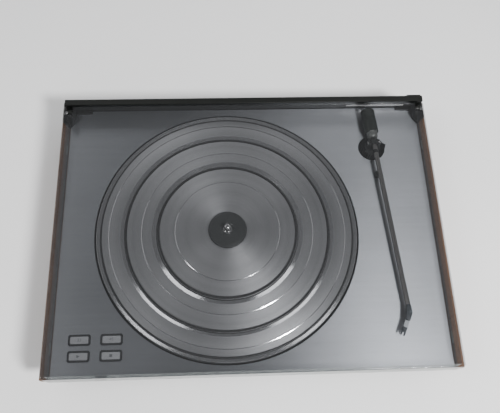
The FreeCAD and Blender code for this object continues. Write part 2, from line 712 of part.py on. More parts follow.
def arm_base():
    """Bearing post of the tonearm, with the guide for the lift bar."""
    foot = cyl(16.5, CHASSIS_Z[1], -19.0, ARM_X, ARM_Y)
    post = foot.fuse(cyl(BASE_POST_R, -19.0, -2.6, ARM_X, ARM_Y)).removeSplitter()
    post = post.cut(cyl(BUSH_R, -30, 0, ARM_X, ARM_Y))
    return post.cut(cyl(LIFT_ROD_R + RUNNING, -30, 0, *LIFT_POST))


def arm_bush():
    return tube(BUSH_R, YOKE_SHAFT_R + RUNNING, -21.0, -2.6, ARM_X, ARM_Y)


def arm_yoke():
    """Fork that turns on the upright shaft and holds the arm's level pins."""
    yoke = cyl(YOKE_SHAFT_R, -20.5, -2.0).fuse(cyl(8.8, -2.0, 3.0))
    for x0, x1 in ((4.4, 6.6), (-6.6, -4.4)):
        upright = box(x0, x1, -3.2, 3.2, 2.0, ARM_Z + 2.4)
        yoke = yoke.fuse(upright)
    yoke = yoke.removeSplitter()
    return on_arm(yoke.cut(rod_x(LEVEL_PIN_R + RUNNING, -10, 10, 0, ARM_Z)))


def falling_rod(r, y_from, y_to):
    """A rod along the tube's line, which falls a little towards the head."""
    fall = TUBE_DROP / (TUBE_END_Y - TUBE_START_Y)
    start = Vector(0, y_from, ARM_Z + (y_from - TUBE_START_Y) * -fall)
    along = Vector(0, y_to - y_from, (y_to - y_from) * -fall)
    return Part.makeCylinder(r, along.Length, start, along)


def pivot_block():
    """Machined block with its two level pins and the stub for the weight."""
    block = box(-4.0, 4.0, *BLOCK_Y, ARM_Z - 3.2, ARM_Z + 3.2)
    block = ease(block, 0.8, lambda b: b.YLength > 5 and b.ZMin > ARM_Z)
    for x0, x1 in ((3.0, 6.5), (-6.5, -3.0)):
        block = block.fuse(rod_x(LEVEL_PIN_R, x0, x1, 0, ARM_Z))
    block = block.cut(falling_rod(TUBE_R, TUBE_START_Y, TUBE_START_Y - 4))
    block = block.fuse(rod_y(STUB_R, 2.5, STUB_END_Y, 0, ARM_Z))
    return on_arm(block.removeSplitter())


def arm_tube():
    outside = falling_rod(TUBE_R, TUBE_START_Y, TUBE_END_Y)
    return on_arm(outside.cut(falling_rod(TUBE_BORE_R, TUBE_START_Y + 1, TUBE_END_Y - 2)))


def on_head(along, across):
    """A point of the head: distance from the knee, and offset to the right."""
    dx = HEAD_TIP_X - KNEE_X
    dy = HEAD_TIP_Y - KNEE_Y
    span = math.hypot(dx, dy)
    ux, uy = dx / span, dy / span
    return (KNEE_X + ux * along - uy * across, KNEE_Y + uy * along + ux * across)


def arm_knee():
    """Bent moulding that turns the head inwards, with a plug in the tube's end."""
    half = HEAD_HALF
    outline = [(-half, TUBE_END_Y - 0.1), (half, TUBE_END_Y - 0.1), (half, KNEE_Y + 1.0),
               on_head(0.5, half), on_head(9.0, half), on_head(9.0, -half), (-half, KNEE_Y + 0.6)]
    knee = plan(outline, 6.2, 11.4)
    knee = ease(knee, 0.8, lambda b: b.ZMin > 11.39)
    plug = falling_rod(TUBE_BORE_R - RUNNING, TUBE_END_Y + 6, TUBE_END_Y - 1)
    return on_arm(knee.fuse(plug).removeSplitter())


def cartridge():
    """Pickup body with a forked finger lift at its front."""
    half = HEAD_HALF
    body = plan([on_head(9.0, half), on_head(9.0, -half), on_head(20.0, -half),
                 on_head(20.0, half)], HEAD_Z[0], HEAD_Z[1])
    lift = plan([on_head(20.0, half), on_head(20.0, -half), on_head(25.0, -2.4),
                 on_head(25.0, 2.4)], 7.2, 8.6)
    slot = plan([on_head(21.2, 0.9), on_head(21.2, -0.9), on_head(26.0, -0.9),
                 on_head(26.0, 0.9)], 0, 20)
    return on_arm(body.fuse(lift.cut(slot)).removeSplitter())


def stylus():
    """Cantilever and diamond under the pickup."""
    x, y = on_head(18.5, 0)
    holder = plan([on_head(10.5, 1.0), on_head(10.5, -1.0), on_head(17.5, -1.0),
                   on_head(17.5, 1.0)], HEAD_Z[0] - 0.5, HEAD_Z[0])
    back_x, back_y = on_head(16.5, 0)
    start = Vector(back_x, back_y, HEAD_Z[0] - 0.3)
    along = Vector(x - back_x, y - back_y, -0.3)
    lever = Part.makeCylinder(0.2, along.Length, start, along)
    tip = Part.makeCone(0.04, 0.22, 0.75, Vector(x, y, STYLUS_TIP_Z))
    return on_arm(holder.fuse(lever).fuse(tip).removeSplitter())


def counterweight():
    """Balance weight with a domed nose, sliding on the stub."""
    length = WEIGHT_Y[1] - WEIGHT_Y[0]
    bore = STUB_R + RUNNING
    nose = WEIGHT_NOSE_R
    points = [(bore, 0.0), (nose - 2.0, 0.0), (nose - 0.5, 1.4), (nose, 3.4), (nose, WEIGHT_NOSE),
              (WEIGHT_R - 0.4, WEIGHT_NOSE), (WEIGHT_R, WEIGHT_NOSE + 0.4), (WEIGHT_R, length - 1.0),
              (WEIGHT_R - 0.8, length), (0.0, length), (0.0, length - 1.2), (bore, length - 1.2)]
    weight = turned(points)
    weight.rotate(Vector(0, 0, 0), Vector(1, 0, 0), -90)
    weight.translate(Vector(0, WEIGHT_Y[0], ARM_Z))
    return on_arm(weight)


def arm_lift_bar():
    """Curved bar that raises the tube, on its guide rod."""
    ring = tube(LIFT_R + 1.2, LIFT_R - 1.2, LIFT_TOP - 2.0, LIFT_TOP, ARM_X, ARM_Y)
    reach = 30.0
    corners = [(ARM_X, ARM_Y)]
    for degrees in (-78, -112, -142):
        angle = math.radians(degrees)
        corners.append((ARM_X + reach * math.cos(angle), ARM_Y + reach * math.sin(angle)))
    bar = ring.common(plan(corners, LIFT_TOP - 5, LIFT_TOP + 5))
    rod = cyl(LIFT_ROD_R, -30.0, LIFT_TOP - 1.0, *LIFT_POST)
    return bar.fuse(rod).removeSplitter()


def arm_rest():
    """Low post under the tube."""
    top = ARM_Z - TUBE_R - 1.8
    rest = rounded(REST_X, REST_Y, 7.0, 7.0, 0, 1.6, 1.5)
    rest = rest.fuse(box(REST_X - 1.7, REST_X + 1.7, REST_Y - 1.5, REST_Y + 1.5, 1.0, top - 0.4))
    cradle = rounded(REST_X - 0.2, REST_Y, 7.6, 4.6, top - 1.6, top, 1.0)
    return rest.fuse(cradle).removeSplitter()


# ---------------------------------------------------------------------------
# Dust cover
# ---------------------------------------------------------------------------

def dust_lid():
    """Smoked cover: flat top and three walls, notched round the hinge ears."""
    shell = box(-LID_HALF_X, LID_HALF_X, LID_FRONT_Y, LID_BACK_Y, LID_FOOT_Z, LID_TOP_Z)
    front_uprights = edges_where(shell, lambda b: b.ZLength > 15 and b.YMax < LID_FRONT_Y + 0.01)
    shell = shell.makeFillet(3.5, front_uprights)
    rim = edges_where(shell, lambda b: b.ZMin > LID_TOP_Z - 0.01 and b.YMin < LID_BACK_Y - 0.1)
    shell = shell.makeFillet(1.2, rim)
    inner = box(-LID_HALF_X + LID_WALL, LID_HALF_X - LID_WALL, LID_FRONT_Y + LID_WALL, LID_BACK_Y + 5,
                LID_FOOT_Z - 1, LID_UNDER_Z)
    shell = shell.cut(inner)
    heel = box(-LID_HALF_X - 1, LID_HALF_X + 1, HINGE_Y, LID_BACK_Y + 1, LID_FOOT_Z - 1, HINGE_Z)
    swing_r = HINGE_Z - 0.8
    shell = shell.cut(heel.cut(rod_x(swing_r, -LID_HALF_X - 1, LID_HALF_X + 1, HINGE_Y, HINGE_Z)))
    for side in (-1, 1):
        outer = side * (LID_HALF_X - LID_WALL)
        inner_x = side * NOTCH_IN_X
        notch = box(min(outer, inner_x), max(outer, inner_x), NOTCH_FRONT_Y, LID_BACK_Y + 1,
                    LID_UNDER_Z - 1, LID_TOP_Z + 1)
        shell = shell.cut(notch)
        pin_from = min(side * CHEEK_OUT_X, side * (LID_HALF_X - 1))
        pin_to = max(side * CHEEK_OUT_X, side * (LID_HALF_X - 1))
        shell = shell.cut(rod_x(HINGE_PIN_R, pin_from, pin_to, HINGE_Y, HINGE_Z))
    return shell


def hinge_pins():
    pin = rod_x(HINGE_PIN_R, CHEEK_IN_X, LID_HALF_X - 1, HINGE_Y, HINGE_Z)
    return [pin, mirrored(pin)]


def lid_pads():
    """Small rubber rests under the cover's walls."""
    pads = []
    middle_x = LID_HALF_X - LID_WALL / 2
    for side in (-1, 1):
        for y in (-120.0, 100.0):
            pads.append(rounded(side * middle_x, y, 2.0, 12.0, 0.1, LID_FOOT_Z, 0.9))
        pads.append(rounded(side * 150.0, LID_FRONT_Y + 1.7, 12.0, 2.0, 0.1, LID_FOOT_Z, 0.9))
    return pads


# ---------------------------------------------------------------------------
# Write every node
# ---------------------------------------------------------------------------

os.makedirs("parts", exist_ok=True)

save("base_tray", base_tray())
save("deck_plate", deck_plate())
for node, shape in (("side_panel", side_panel_right()), ("corner_cap", corner_cap_right()),
                    ("hinge_cheek", hinge_cheek_right())):
    save(node + "_right", shape)
    save(node + "_left", mirrored(shape))
save("rear_rail", rear_rail())
save("arm_recess_trim", arm_recess_trim())
feet()
save("case_screws", *foot_screws(), *inner_screws())
save("cable_glands", *[cable_gland(x) for x in GLAND_X])

save("main_board", main_board())
save("board_parts", *board_capacitors(), *board_chips())
save("heat_sink", heat_sink())
save("transformer_core", transformer_core())
save("transformer_winding", transformer_winding())
save("motor_can", motor_can())
save("motor_plate", motor_plate())
save("motor_pulley", motor_pulley())
save("drive_belt", drive_belt())
save("key_board", key_board())
save("key_switches", *key_switches())
save("key_frames", *[key_frame(x, y) for x, y in KEYS.values()])
for key, (key_x, key_y) in KEYS.items():
    save("key_" + key, key_cap(key_x, key_y))

save("sub_chassis", sub_chassis())
save("spring_posts", *spring_posts())
save("suspension_springs", *suspension_springs())
save("bearing_housing", bearing_housing())
save("bearing_bush", tube(7.5, SHAFT_R + RUNNING, -34.0, -17.2, PLATTER_X, PLATTER_Y))
save("bearing_screws", *bearing_screws())
save("thrust_ball", Part.makeSphere(BALL_R, Vector(PLATTER_X, PLATTER_Y, -39.5 + BALL_R)))
save("sub_platter", sub_platter())
save("platter", platter())
save("platter_ring_inner", platter_ring(73.0, 75.0, 0.5, 2.9))
save("platter_ring_middle", platter_ring(107.4, 109.2, 0.5, 2.9))
save("platter_ring_outer", platter_ring(133.5, 134.7, 0.9, 2.7))
save("hub_cap", hub_cap())
save("spindle", spindle())

save("arm_base", arm_base())
save("arm_bush", arm_bush())
save("arm_lift_bar", arm_lift_bar())
save("arm_rest", arm_rest())
save("arm_yoke", arm_yoke())
save("pivot_block", pivot_block())
save("arm_tube", arm_tube())
save("arm_knee", arm_knee())
save("cartridge", cartridge())
save("stylus", stylus())
save("counterweight", counterweight())

save("dust_lid", dust_lid())
save("hinge_pins", *hinge_pins())
save("lid_pads", *lid_pads())
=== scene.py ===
import json
import math

import bmesh
import bpy
from mathutils import Matrix, Vector


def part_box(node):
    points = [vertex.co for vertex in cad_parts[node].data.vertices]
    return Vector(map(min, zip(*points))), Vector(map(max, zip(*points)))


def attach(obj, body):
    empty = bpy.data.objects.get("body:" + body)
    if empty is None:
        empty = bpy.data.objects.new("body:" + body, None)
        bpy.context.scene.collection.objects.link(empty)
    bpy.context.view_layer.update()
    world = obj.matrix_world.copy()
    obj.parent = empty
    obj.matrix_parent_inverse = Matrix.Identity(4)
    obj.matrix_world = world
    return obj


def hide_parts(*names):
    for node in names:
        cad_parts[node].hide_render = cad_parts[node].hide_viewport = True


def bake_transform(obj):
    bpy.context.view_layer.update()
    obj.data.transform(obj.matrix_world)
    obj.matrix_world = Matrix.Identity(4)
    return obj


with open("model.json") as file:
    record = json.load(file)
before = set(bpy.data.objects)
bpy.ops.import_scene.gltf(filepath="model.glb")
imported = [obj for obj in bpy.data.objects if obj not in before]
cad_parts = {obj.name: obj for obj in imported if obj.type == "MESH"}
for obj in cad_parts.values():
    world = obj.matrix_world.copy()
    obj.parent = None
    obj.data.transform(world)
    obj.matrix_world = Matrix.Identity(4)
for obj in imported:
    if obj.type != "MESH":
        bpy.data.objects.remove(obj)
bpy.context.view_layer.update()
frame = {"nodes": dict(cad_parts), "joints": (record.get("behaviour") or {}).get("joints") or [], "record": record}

MM = 0.001

# ---------------------------------------------------------------------------
# Places, worked out from the frame. Outlines below are in millimetres from the
# middle of the deck's top face, as they are on a drawing of the player.
# ---------------------------------------------------------------------------

deck_low, deck_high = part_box("deck_plate")
DECK = Vector(((deck_low.x + deck_high.x) / 2, (deck_low.y + deck_high.y) / 2, deck_high.z))
platter_low, platter_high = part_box("platter")
PLATTER = Vector(((platter_low.x + platter_high.x) / 2, (platter_low.y + platter_high.y) / 2, DECK.z))
JOINTS = {joint["name"]: joint for joint in frame["joints"]}
ARM = Vector(JOINTS["arm_pitch"]["pos_m"])
ARM_TURN = math.atan2(-JOINTS["arm_pitch"]["axis"][1], -JOINTS["arm_pitch"]["axis"][0])
ARM_FRAME = Matrix.Translation(ARM) @ Matrix.Rotation(ARM_TURN, 4, "Z")

BODY_OF = {node: body for body, nodes in frame["record"]["behaviour"]["bodies"].items() for node in nodes}
SLOT_OF = {part["node"]: part["material_slot"] for part in frame["record"]["subparts"]}


def on_deck(x, y, z=0.0):
    return DECK + Vector((x, y, z)) * MM


# ---------------------------------------------------------------------------
# Materials
# ---------------------------------------------------------------------------

def new_material(name):
    """A node material with its Principled shader and the object's own coordinates."""
    material = bpy.data.materials.new(name)
    material.use_nodes = True
    tree = material.node_tree
    shader = tree.nodes["Principled BSDF"]
    coords = tree.nodes.new("ShaderNodeTexCoord").outputs["Object"]
    return material, tree, shader, coords


def stretched(tree, coords, scale):
    """Coordinates scaled separately along each axis; scale is in features per metre."""
    mapping = tree.nodes.new("ShaderNodeMapping")
    mapping.inputs["Scale"].default_value = scale
    tree.links.new(coords, mapping.inputs["Vector"])
    return mapping.outputs["Vector"]


def noise(tree, coords, scale, detail=3.0, roughness=0.5):
    texture = tree.nodes.new("ShaderNodeTexNoise")
    texture.inputs["Scale"].default_value = 1.0
    texture.inputs["Detail"].default_value = detail
    texture.inputs["Roughness"].default_value = roughness
    tree.links.new(stretched(tree, coords, scale), texture.inputs["Vector"])
    return texture.outputs["Fac"]


def ramp(tree, value, stops):
    """A colour ramp from (position, colour) stops."""
    node = tree.nodes.new("ShaderNodeValToRGB")
    elements = node.color_ramp.elements
    while len(elements) < len(stops):
        elements.new(0.5)
    for element, (position, colour) in zip(elements, stops):
        element.position = position
        element.color = (*colour, 1.0)
    tree.links.new(value, node.inputs["Fac"])
    return node.outputs["Color"]


def spread(tree, value, low, high):
    """Map a 0.3 to 0.7 noise value to the range low to high."""
    node = tree.nodes.new("ShaderNodeMapRange")
    node.inputs["From Min"].default_value = 0.3
    node.inputs["From Max"].default_value = 0.7
    node.inputs["To Min"].default_value = low
    node.inputs["To Max"].default_value = high
    tree.links.new(value, node.inputs["Value"])
    return node.outputs["Result"]


def math_node(tree, operation, first, second=None):
    node = tree.nodes.new("ShaderNodeMath")
    node.operation = operation
    for socket, value in zip(node.inputs, (first, second)):
        if isinstance(value, (int, float)):
            socket.default_value = value
        elif value is not None:
            tree.links.new(value, socket)
    return node.outputs["Value"]


def weighted(tree, parts):
    """Add up (value, weight) pairs."""
    value, weight = parts[0]
    scaled = math_node(tree, "MULTIPLY", value, weight)
    if len(parts) == 1:
        return scaled
    return math_node(tree, "ADD", scaled, weighted(tree, parts[1:]))


def bump(tree, shader, height, distance, strength=1.0):
    node = tree.nodes.new("ShaderNodeBump")
    node.inputs["Strength"].default_value = strength
    node.inputs["Distance"].default_value = distance
    tree.links.new(height, node.inputs["Height"])
    tree.links.new(node.outputs["Normal"], shader.inputs["Normal"])


def plain_surface(name, dark, light, rough, grain, depth, metallic=0.0, specular=0.5):
    """A finish with slow colour variation, varied roughness and a fine surface grain.

    dark and light bound the colour, rough the roughness; grain is in features per
    metre (one number, or one for each axis), depth is the grain's height in metres.
    """
    material, tree, shader, coords = new_material(name)
    grain = grain if isinstance(grain, tuple) else (grain, grain, grain)
    clouds = noise(tree, coords, (18.0, 18.0, 18.0), detail=4.0)
    fine = noise(tree, coords, grain, detail=2.0)
    blend = weighted(tree, [(clouds, 0.6), (fine, 0.4)])
    tree.links.new(ramp(tree, blend, [(0.32, dark), (0.68, light)]), shader.inputs["Base Color"])
    tree.links.new(spread(tree, blend, *rough), shader.inputs["Roughness"])
    shader.inputs["Metallic"].default_value = metallic
    shader.inputs["Specular IOR Level"].default_value = specular
    bump(tree, shader, fine, depth)
    return material


def brushed_deck(name):
    """Aluminium brushed across the deck's width, with a satin anodised haze."""
    material, tree, shader, coords = new_material(name)
    lines = noise(tree, coords, (9.0, 2600.0, 400.0), detail=3.0)
    streaks = noise(tree, coords, (3.0, 260.0, 60.0), detail=4.0)
    clouds = noise(tree, coords, (7.0, 7.0, 7.0), detail=3.0)
    blend = weighted(tree, [(lines, 0.35), (streaks, 0.2), (clouds, 0.45)])
    tone = ramp(tree, blend, [(0.36, (0.385, 0.405, 0.425)), (0.64, (0.47, 0.49, 0.515))])
    tree.links.new(tone, shader.inputs["Base Color"])
    tree.links.new(spread(tree, blend, 0.40, 0.44), shader.inputs["Roughness"])
    shader.inputs["Metallic"].default_value = 1.0
    shader.inputs["Anisotropic"].default_value = 0.80
    across = tree.nodes.new("ShaderNodeCombineXYZ")
    across.inputs["Y"].default_value = 1.0
    tree.links.new(across.outputs["Vector"], shader.inputs["Tangent"])
    bump(tree, shader, lines, 0.00002, 0.5)
    return material


def turned_metal(name, dark, light, rough, rings=1500.0, depth=0.00002, stretch=0.8):
    """Metal turned on a lathe: rings about the piece's own upright axis.

    The tool marks spread a highlight outwards from the axis; stretch says how much.
    """
    material, tree, shader, coords = new_material(name)
    flat = tree.nodes.new("ShaderNodeVectorMath")
    flat.operation = "MULTIPLY"
    flat.inputs[1].default_value = (1.0, 1.0, 0.0)
    tree.links.new(coords, flat.inputs[0])
    length = tree.nodes.new("ShaderNodeVectorMath")
    length.operation = "LENGTH"
    tree.links.new(flat.outputs["Vector"], length.inputs[0])
    radius = length.outputs["Value"]
    lines = tree.nodes.new("ShaderNodeTexNoise")
    lines.noise_dimensions = "1D"
    lines.inputs["Scale"].default_value = rings
    lines.inputs["Detail"].default_value = 4.0
    tree.links.new(radius, lines.inputs["W"])
    bands = tree.nodes.new("ShaderNodeTexNoise")
    bands.noise_dimensions = "1D"
    bands.inputs["Scale"].default_value = rings / 12
    tree.links.new(radius, bands.inputs["W"])
    clouds = noise(tree, coords, (9.0, 9.0, 9.0), detail=3.0)
    blend = weighted(tree, [(lines.outputs["Fac"], 0.3), (bands.outputs["Fac"], 0.35), (clouds, 0.35)])
    tree.links.new(ramp(tree, blend, [(0.36, dark), (0.64, light)]), shader.inputs["Base Color"])
    tree.links.new(spread(tree, blend, *rough), shader.inputs["Roughness"])
    shader.inputs["Metallic"].default_value = 1.0
    shader.inputs["Anisotropic"].default_value = stretch
    shader.inputs["Anisotropic Rotation"].default_value = 0.25
    around = tree.nodes.new("ShaderNodeTangent")
    around.direction_type = "RADIAL"
    around.axis = "Z"
    tree.links.new(around.outputs["Tangent"], shader.inputs["Tangent"])
    bump(tree, shader, lines.outputs["Fac"], depth, 0.4)
    return material


def wood_veneer(name):
    """Brown veneer: long dark figure and pores along the panel, under a thin satin lacquer."""
    material, tree, shader, coords = new_material(name)
    warp = noise(tree, coords, (40.0, 5.0, 40.0), detail=3.0)
    figure = tree.nodes.new("ShaderNodeTexWave")
    figure.wave_type = "BANDS"
    figure.bands_direction = "Z"
    figure.inputs["Scale"].default_value = 1.0
    figure.inputs["Distortion"].default_value = 11.0
    figure.inputs["Detail"].default_value = 4.0
    figure.inputs["Detail Scale"].default_value = 1.4
    tree.links.new(stretched(tree, coords, (24.0, 2.6, 24.0)), figure.inputs["Vector"])
    pores = noise(tree, coords, (2600.0, 70.0, 2600.0), detail=2.0)
    fibres = noise(tree, coords, (900.0, 14.0, 900.0), detail=4.0)
    blend = weighted(tree, [(figure.outputs["Fac"], 0.22), (fibres, 0.5), (warp, 0.28)])
    tone = ramp(tree, blend, [(0.25, (0.056, 0.027, 0.014)), (0.48, (0.145, 0.070, 0.035)),
                              (0.75, (0.220, 0.120, 0.064))])
    tree.links.new(tone, shader.inputs["Base Color"])
    tree.links.new(spread(tree, pores, 0.5, 0.66), shader.inputs["Roughness"])
    shader.inputs["Specular IOR Level"].default_value = 0.3
    shader.inputs["Coat Weight"].default_value = 0.06
    shader.inputs["Coat Roughness"].default_value = 0.3
    bump(tree, shader, pores, 0.00004, 0.5)
    return material


HEAD_ON_GLOSS = 0.04
SMOKE_DIP = 0.96


def smoked_acrylic(name, tint, haze):
    """Clear smoked sheet: light passes straight through, dimmed at each face, with a polished gloss.

    The gloss is 4 % head on and rises at a slant, the same from both sides of a face.
    """
    material = bpy.data.materials.new(name)
    material.use_nodes = True
    tree = material.node_tree
    tree.nodes.remove(tree.nodes["Principled BSDF"])
    output = tree.nodes["Material Output"]
    coords = tree.nodes.new("ShaderNodeTexCoord").outputs["Object"]
    smoke = noise(tree, coords, (6.0, 6.0, 6.0), detail=2.0)
    clear = tree.nodes.new("ShaderNodeBsdfTransparent")
    darker = tuple(channel * SMOKE_DIP for channel in tint)
    tree.links.new(ramp(tree, smoke, [(0.35, darker), (0.65, tint)]), clear.inputs["Color"])
    dust = tree.nodes.new("ShaderNodeBsdfDiffuse")
    dust.inputs["Color"].default_value = (0.55, 0.57, 0.6, 1.0)
    specks = noise(tree, coords, (420.0, 420.0, 420.0), detail=5.0, roughness=0.7)
    veil = tree.nodes.new("ShaderNodeMixShader")
    tree.links.new(spread(tree, specks, haze * 0.3, haze), veil.inputs["Fac"])
    tree.links.new(clear.outputs["BSDF"], veil.inputs[1])
    tree.links.new(dust.outputs["BSDF"], veil.inputs[2])
    gloss = tree.nodes.new("ShaderNodeBsdfGlossy")
    smears = noise(tree, coords, (14.0, 50.0, 14.0), detail=4.0)
    tree.links.new(spread(tree, smears, 0.05, 0.13), gloss.inputs["Roughness"])
    slant = tree.nodes.new("ShaderNodeLayerWeight")
    slant.inputs["Blend"].default_value = 0.5
    rise = math_node(tree, "POWER", slant.outputs["Facing"], 5.0)
    share = math_node(tree, "ADD", math_node(tree, "MULTIPLY", rise, 1.0 - HEAD_ON_GLOSS), HEAD_ON_GLOSS)
    mix = tree.nodes.new("ShaderNodeMixShader")
    tree.links.new(share, mix.inputs["Fac"])
    tree.links.new(veil.outputs["Shader"], mix.inputs[1])
    tree.links.new(gloss.outputs["BSDF"], mix.inputs[2])
    tree.links.new(mix.outputs["Shader"], output.inputs["Surface"])
    return material


def circuit_board(name):
    """Green solder-resist with a pattern of tracks under it."""
    material, tree, shader, coords = new_material(name)
    tracks = tree.nodes.new("ShaderNodeTexBrick")
    tracks.inputs["Scale"].default_value = 1.0
    tracks.inputs["Mortar Size"].default_value = 0.06
    tracks.inputs["Color1"].default_value = (0.035, 0.12, 0.03, 1.0)
    tracks.inputs["Color2"].default_value = (0.045, 0.15, 0.04, 1.0)
    tracks.inputs["Mortar"].default_value = (0.12, 0.27, 0.09, 1.0)
    tree.links.new(stretched(tree, coords, (160.0, 160.0, 160.0)), tracks.inputs["Vector"])
    tree.links.new(tracks.outputs["Color"], shader.inputs["Base Color"])
    fine = noise(tree, coords, (900.0, 900.0, 900.0))
    tree.links.new(spread(tree, fine, 0.3, 0.42), shader.inputs["Roughness"])
    bump(tree, shader, tracks.outputs["Fac"], 0.00003, 0.6)
    return material


def laminations(name):
    """Edges of stacked iron sheets under brown varnish."""
    material, tree, shader, coords = new_material(name)
    sheets = tree.nodes.new("ShaderNodeTexWave")
    sheets.bands_direction = "Y"
    sheets.inputs["Scale"].default_value = 1.0
    sheets.inputs["Distortion"].default_value = 0.3
    tree.links.new(stretched(tree, coords, (0.0, 320.0, 0.0)), sheets.inputs["Vector"])
    tone = ramp(tree, sheets.outputs["Fac"], [(0.2, (0.03, 0.022, 0.02)), (0.8, (0.11, 0.09, 0.08))])
    tree.links.new(tone, shader.inputs["Base Color"])
    tree.links.new(spread(tree, sheets.outputs["Fac"], 0.4, 0.6), shader.inputs["Roughness"])
    shader.inputs["Metallic"].default_value = 0.6
    bump(tree, shader, sheets.outputs["Fac"], 0.0001)
    return material


# Each surface: dark and light colour, roughness range, grain in features per metre, grain height
# in metres and, where they are not the usual ones, metallic share and specular level.
PLAIN_SURFACES = {
    "case_plastic": ((0.011, 0.011, 0.011), (0.020, 0.020, 0.021), (0.48, 0.62), 2200.0, 0.00006),
    "rail_plastic": ((0.003, 0.0036, 0.003), (0.0065, 0.0075, 0.0065), (0.34, 0.46), 1800.0, 0.00003, 0.0,
                     0.25),
    "frame_plastic": ((0.008, 0.009, 0.011), (0.015, 0.017, 0.019), (0.40, 0.50), 2600.0, 0.00002),
    "key_plastic": ((0.30, 0.31, 0.32), (0.36, 0.37, 0.38), (0.34, 0.44), 3000.0, 0.00002),
    "key_print": ((0.09, 0.095, 0.10), (0.13, 0.135, 0.14), (0.45, 0.55), 3000.0, 0.00001),
    "hub_plastic": ((0.020, 0.023, 0.023), (0.034, 0.037, 0.037), (0.34, 0.46), 2400.0, 0.00003),
    "head_plastic": ((0.030, 0.038, 0.046), (0.050, 0.060, 0.070), (0.32, 0.44), 2400.0, 0.00002),
    "knee_mark": ((0.07, 0.09, 0.10), (0.10, 0.12, 0.135), (0.35, 0.45), 2400.0, 0.00002),
    "head_plate": ((0.50, 0.53, 0.55), (0.62, 0.65, 0.67), (0.28, 0.38), 2400.0, 0.00001),
    "rest_plastic": ((0.012, 0.013, 0.013), (0.022, 0.024, 0.023), (0.42, 0.52), 2400.0, 0.00003),
    "drive_plastic": ((0.03, 0.03, 0.03), (0.05, 0.05, 0.05), (0.45, 0.6), 1800.0, 0.00004),
    "board_part": ((0.012, 0.012, 0.03), (0.03, 0.03, 0.07), (0.25, 0.4), 1500.0, 0.00003),
    "winding_tape": ((0.52, 0.38, 0.08), (0.66, 0.50, 0.14), (0.35, 0.5), (300.0, 300.0, 60.0), 0.00006),
    "foot_rubber": ((0.012, 0.012, 0.012), (0.024, 0.024, 0.024), (0.75, 0.9), 1500.0, 0.00008),
    "gland_rubber": ((0.012, 0.012, 0.013), (0.022, 0.022, 0.023), (0.65, 0.8), 1500.0, 0.00006),
    "belt_rubber": ((0.010, 0.010, 0.010), (0.018, 0.018, 0.018), (0.7, 0.85), 2500.0, 0.00005),
    "ring_rubber": ((0.007, 0.008, 0.008), (0.014, 0.015, 0.016), (0.55, 0.7), 2200.0, 0.00004),
    "pad_rubber": ((0.20, 0.21, 0.21), (0.27, 0.28, 0.28), (0.6, 0.75), 2000.0, 0.00004),
    "bright_trim": ((0.80, 0.80, 0.78), (0.90, 0.90, 0.88), (0.30, 0.42), (20.0, 2000.0, 2000.0), 0.00002,
                    0.4),
    "screw_steel": ((0.42, 0.42, 0.40), (0.58, 0.58, 0.55), (0.28, 0.42), 1500.0, 0.00003, 1.0),
    "sink_metal": ((0.25, 0.25, 0.26), (0.34, 0.34, 0.35), (0.4, 0.5), 1800.0, 0.00003, 1.0),
    "motor_steel": ((0.42, 0.42, 0.42), (0.55, 0.55, 0.55), (0.3, 0.42), (200.0, 200.0, 2500.0), 0.00003,
                    1.0),
    "pulley_brass": ((0.62, 0.46, 0.18), (0.76, 0.58, 0.26), (0.22, 0.34), 2500.0, 0.00002, 1.0),
    "post_steel": ((0.42, 0.42, 0.40), (0.56, 0.56, 0.54), (0.28, 0.4), 1800.0, 0.00003, 1.0),
    "housing_steel": ((0.36, 0.36, 0.36), (0.48, 0.48, 0.48), (0.3, 0.42), 2200.0, 0.00003, 1.0),
    "bush_bronze": ((0.40, 0.26, 0.12), (0.52, 0.36, 0.18), (0.35, 0.5), 2500.0, 0.00004, 1.0),
    "ball_steel": ((0.70, 0.70, 0.70), (0.82, 0.82, 0.82), (0.08, 0.16), 1500.0, 0.00001, 1.0),
    "chassis_steel": ((0.018, 0.018, 0.018), (0.032, 0.032, 0.032), (0.4, 0.55), 1200.0, 0.00008, 0.3),
    "block_metal": ((0.020, 0.022, 0.022), (0.034, 0.036, 0.035), (0.3, 0.42), 2200.0, 0.00003, 0.4),
    "tube_metal": ((0.20, 0.195, 0.19), (0.30, 0.29, 0.28), (0.26, 0.38), (1800.0, 60.0, 1800.0), 0.00002,
                   1.0),
    "weight_metal": ((0.012, 0.018, 0.014), (0.022, 0.029, 0.023), (0.30, 0.42), 2200.0, 0.00003, 0.3),
    "weight_face": ((0.16, 0.17, 0.16), (0.24, 0.25, 0.24), (0.35, 0.48), 2200.0, 0.00003, 0.6),
    "stylus_metal": ((0.5, 0.5, 0.5), (0.68, 0.68, 0.68), (0.2, 0.3), 3000.0, 0.00001, 1.0),
    "plate_metal": ((0.42, 0.42, 0.41), (0.55, 0.55, 0.54), (0.35, 0.45), (30.0, 30.0, 1800.0), 0.00002,
                    1.0),
}

MATERIALS = {
    "deck_metal": brushed_deck("deck_metal"),
    "platter_metal": turned_metal("platter_metal", (0.49, 0.50, 0.51), (0.60, 0.61, 0.62), (0.42, 0.48),
                                  stretch=0.6),
    "platter_bevel": turned_metal("platter_bevel", (0.72, 0.73, 0.74), (0.82, 0.83, 0.84), (0.10, 0.14),
                                  900.0, 0.000005, 0.2),
    "side_wood": wood_veneer("side_wood"),
    "smoked_acrylic": smoked_acrylic("smoked_acrylic", (0.77, 0.77, 0.775), 0.015),
    "acrylic_edge": smoked_acrylic("acrylic_edge", (0.36, 0.40, 0.39), 0.10),
    "board_laminate": circuit_board("board_laminate"),
    "core_steel": laminations("core_steel"),
    "spindle_steel": turned_metal("spindle_steel", (0.68, 0.68, 0.68), (0.84, 0.84, 0.83), (0.10, 0.20),
                                  4000.0, 0.00001),
}
for surface, recipe in PLAIN_SURFACES.items():
    MATERIALS[surface] = plain_surface(surface, *recipe)


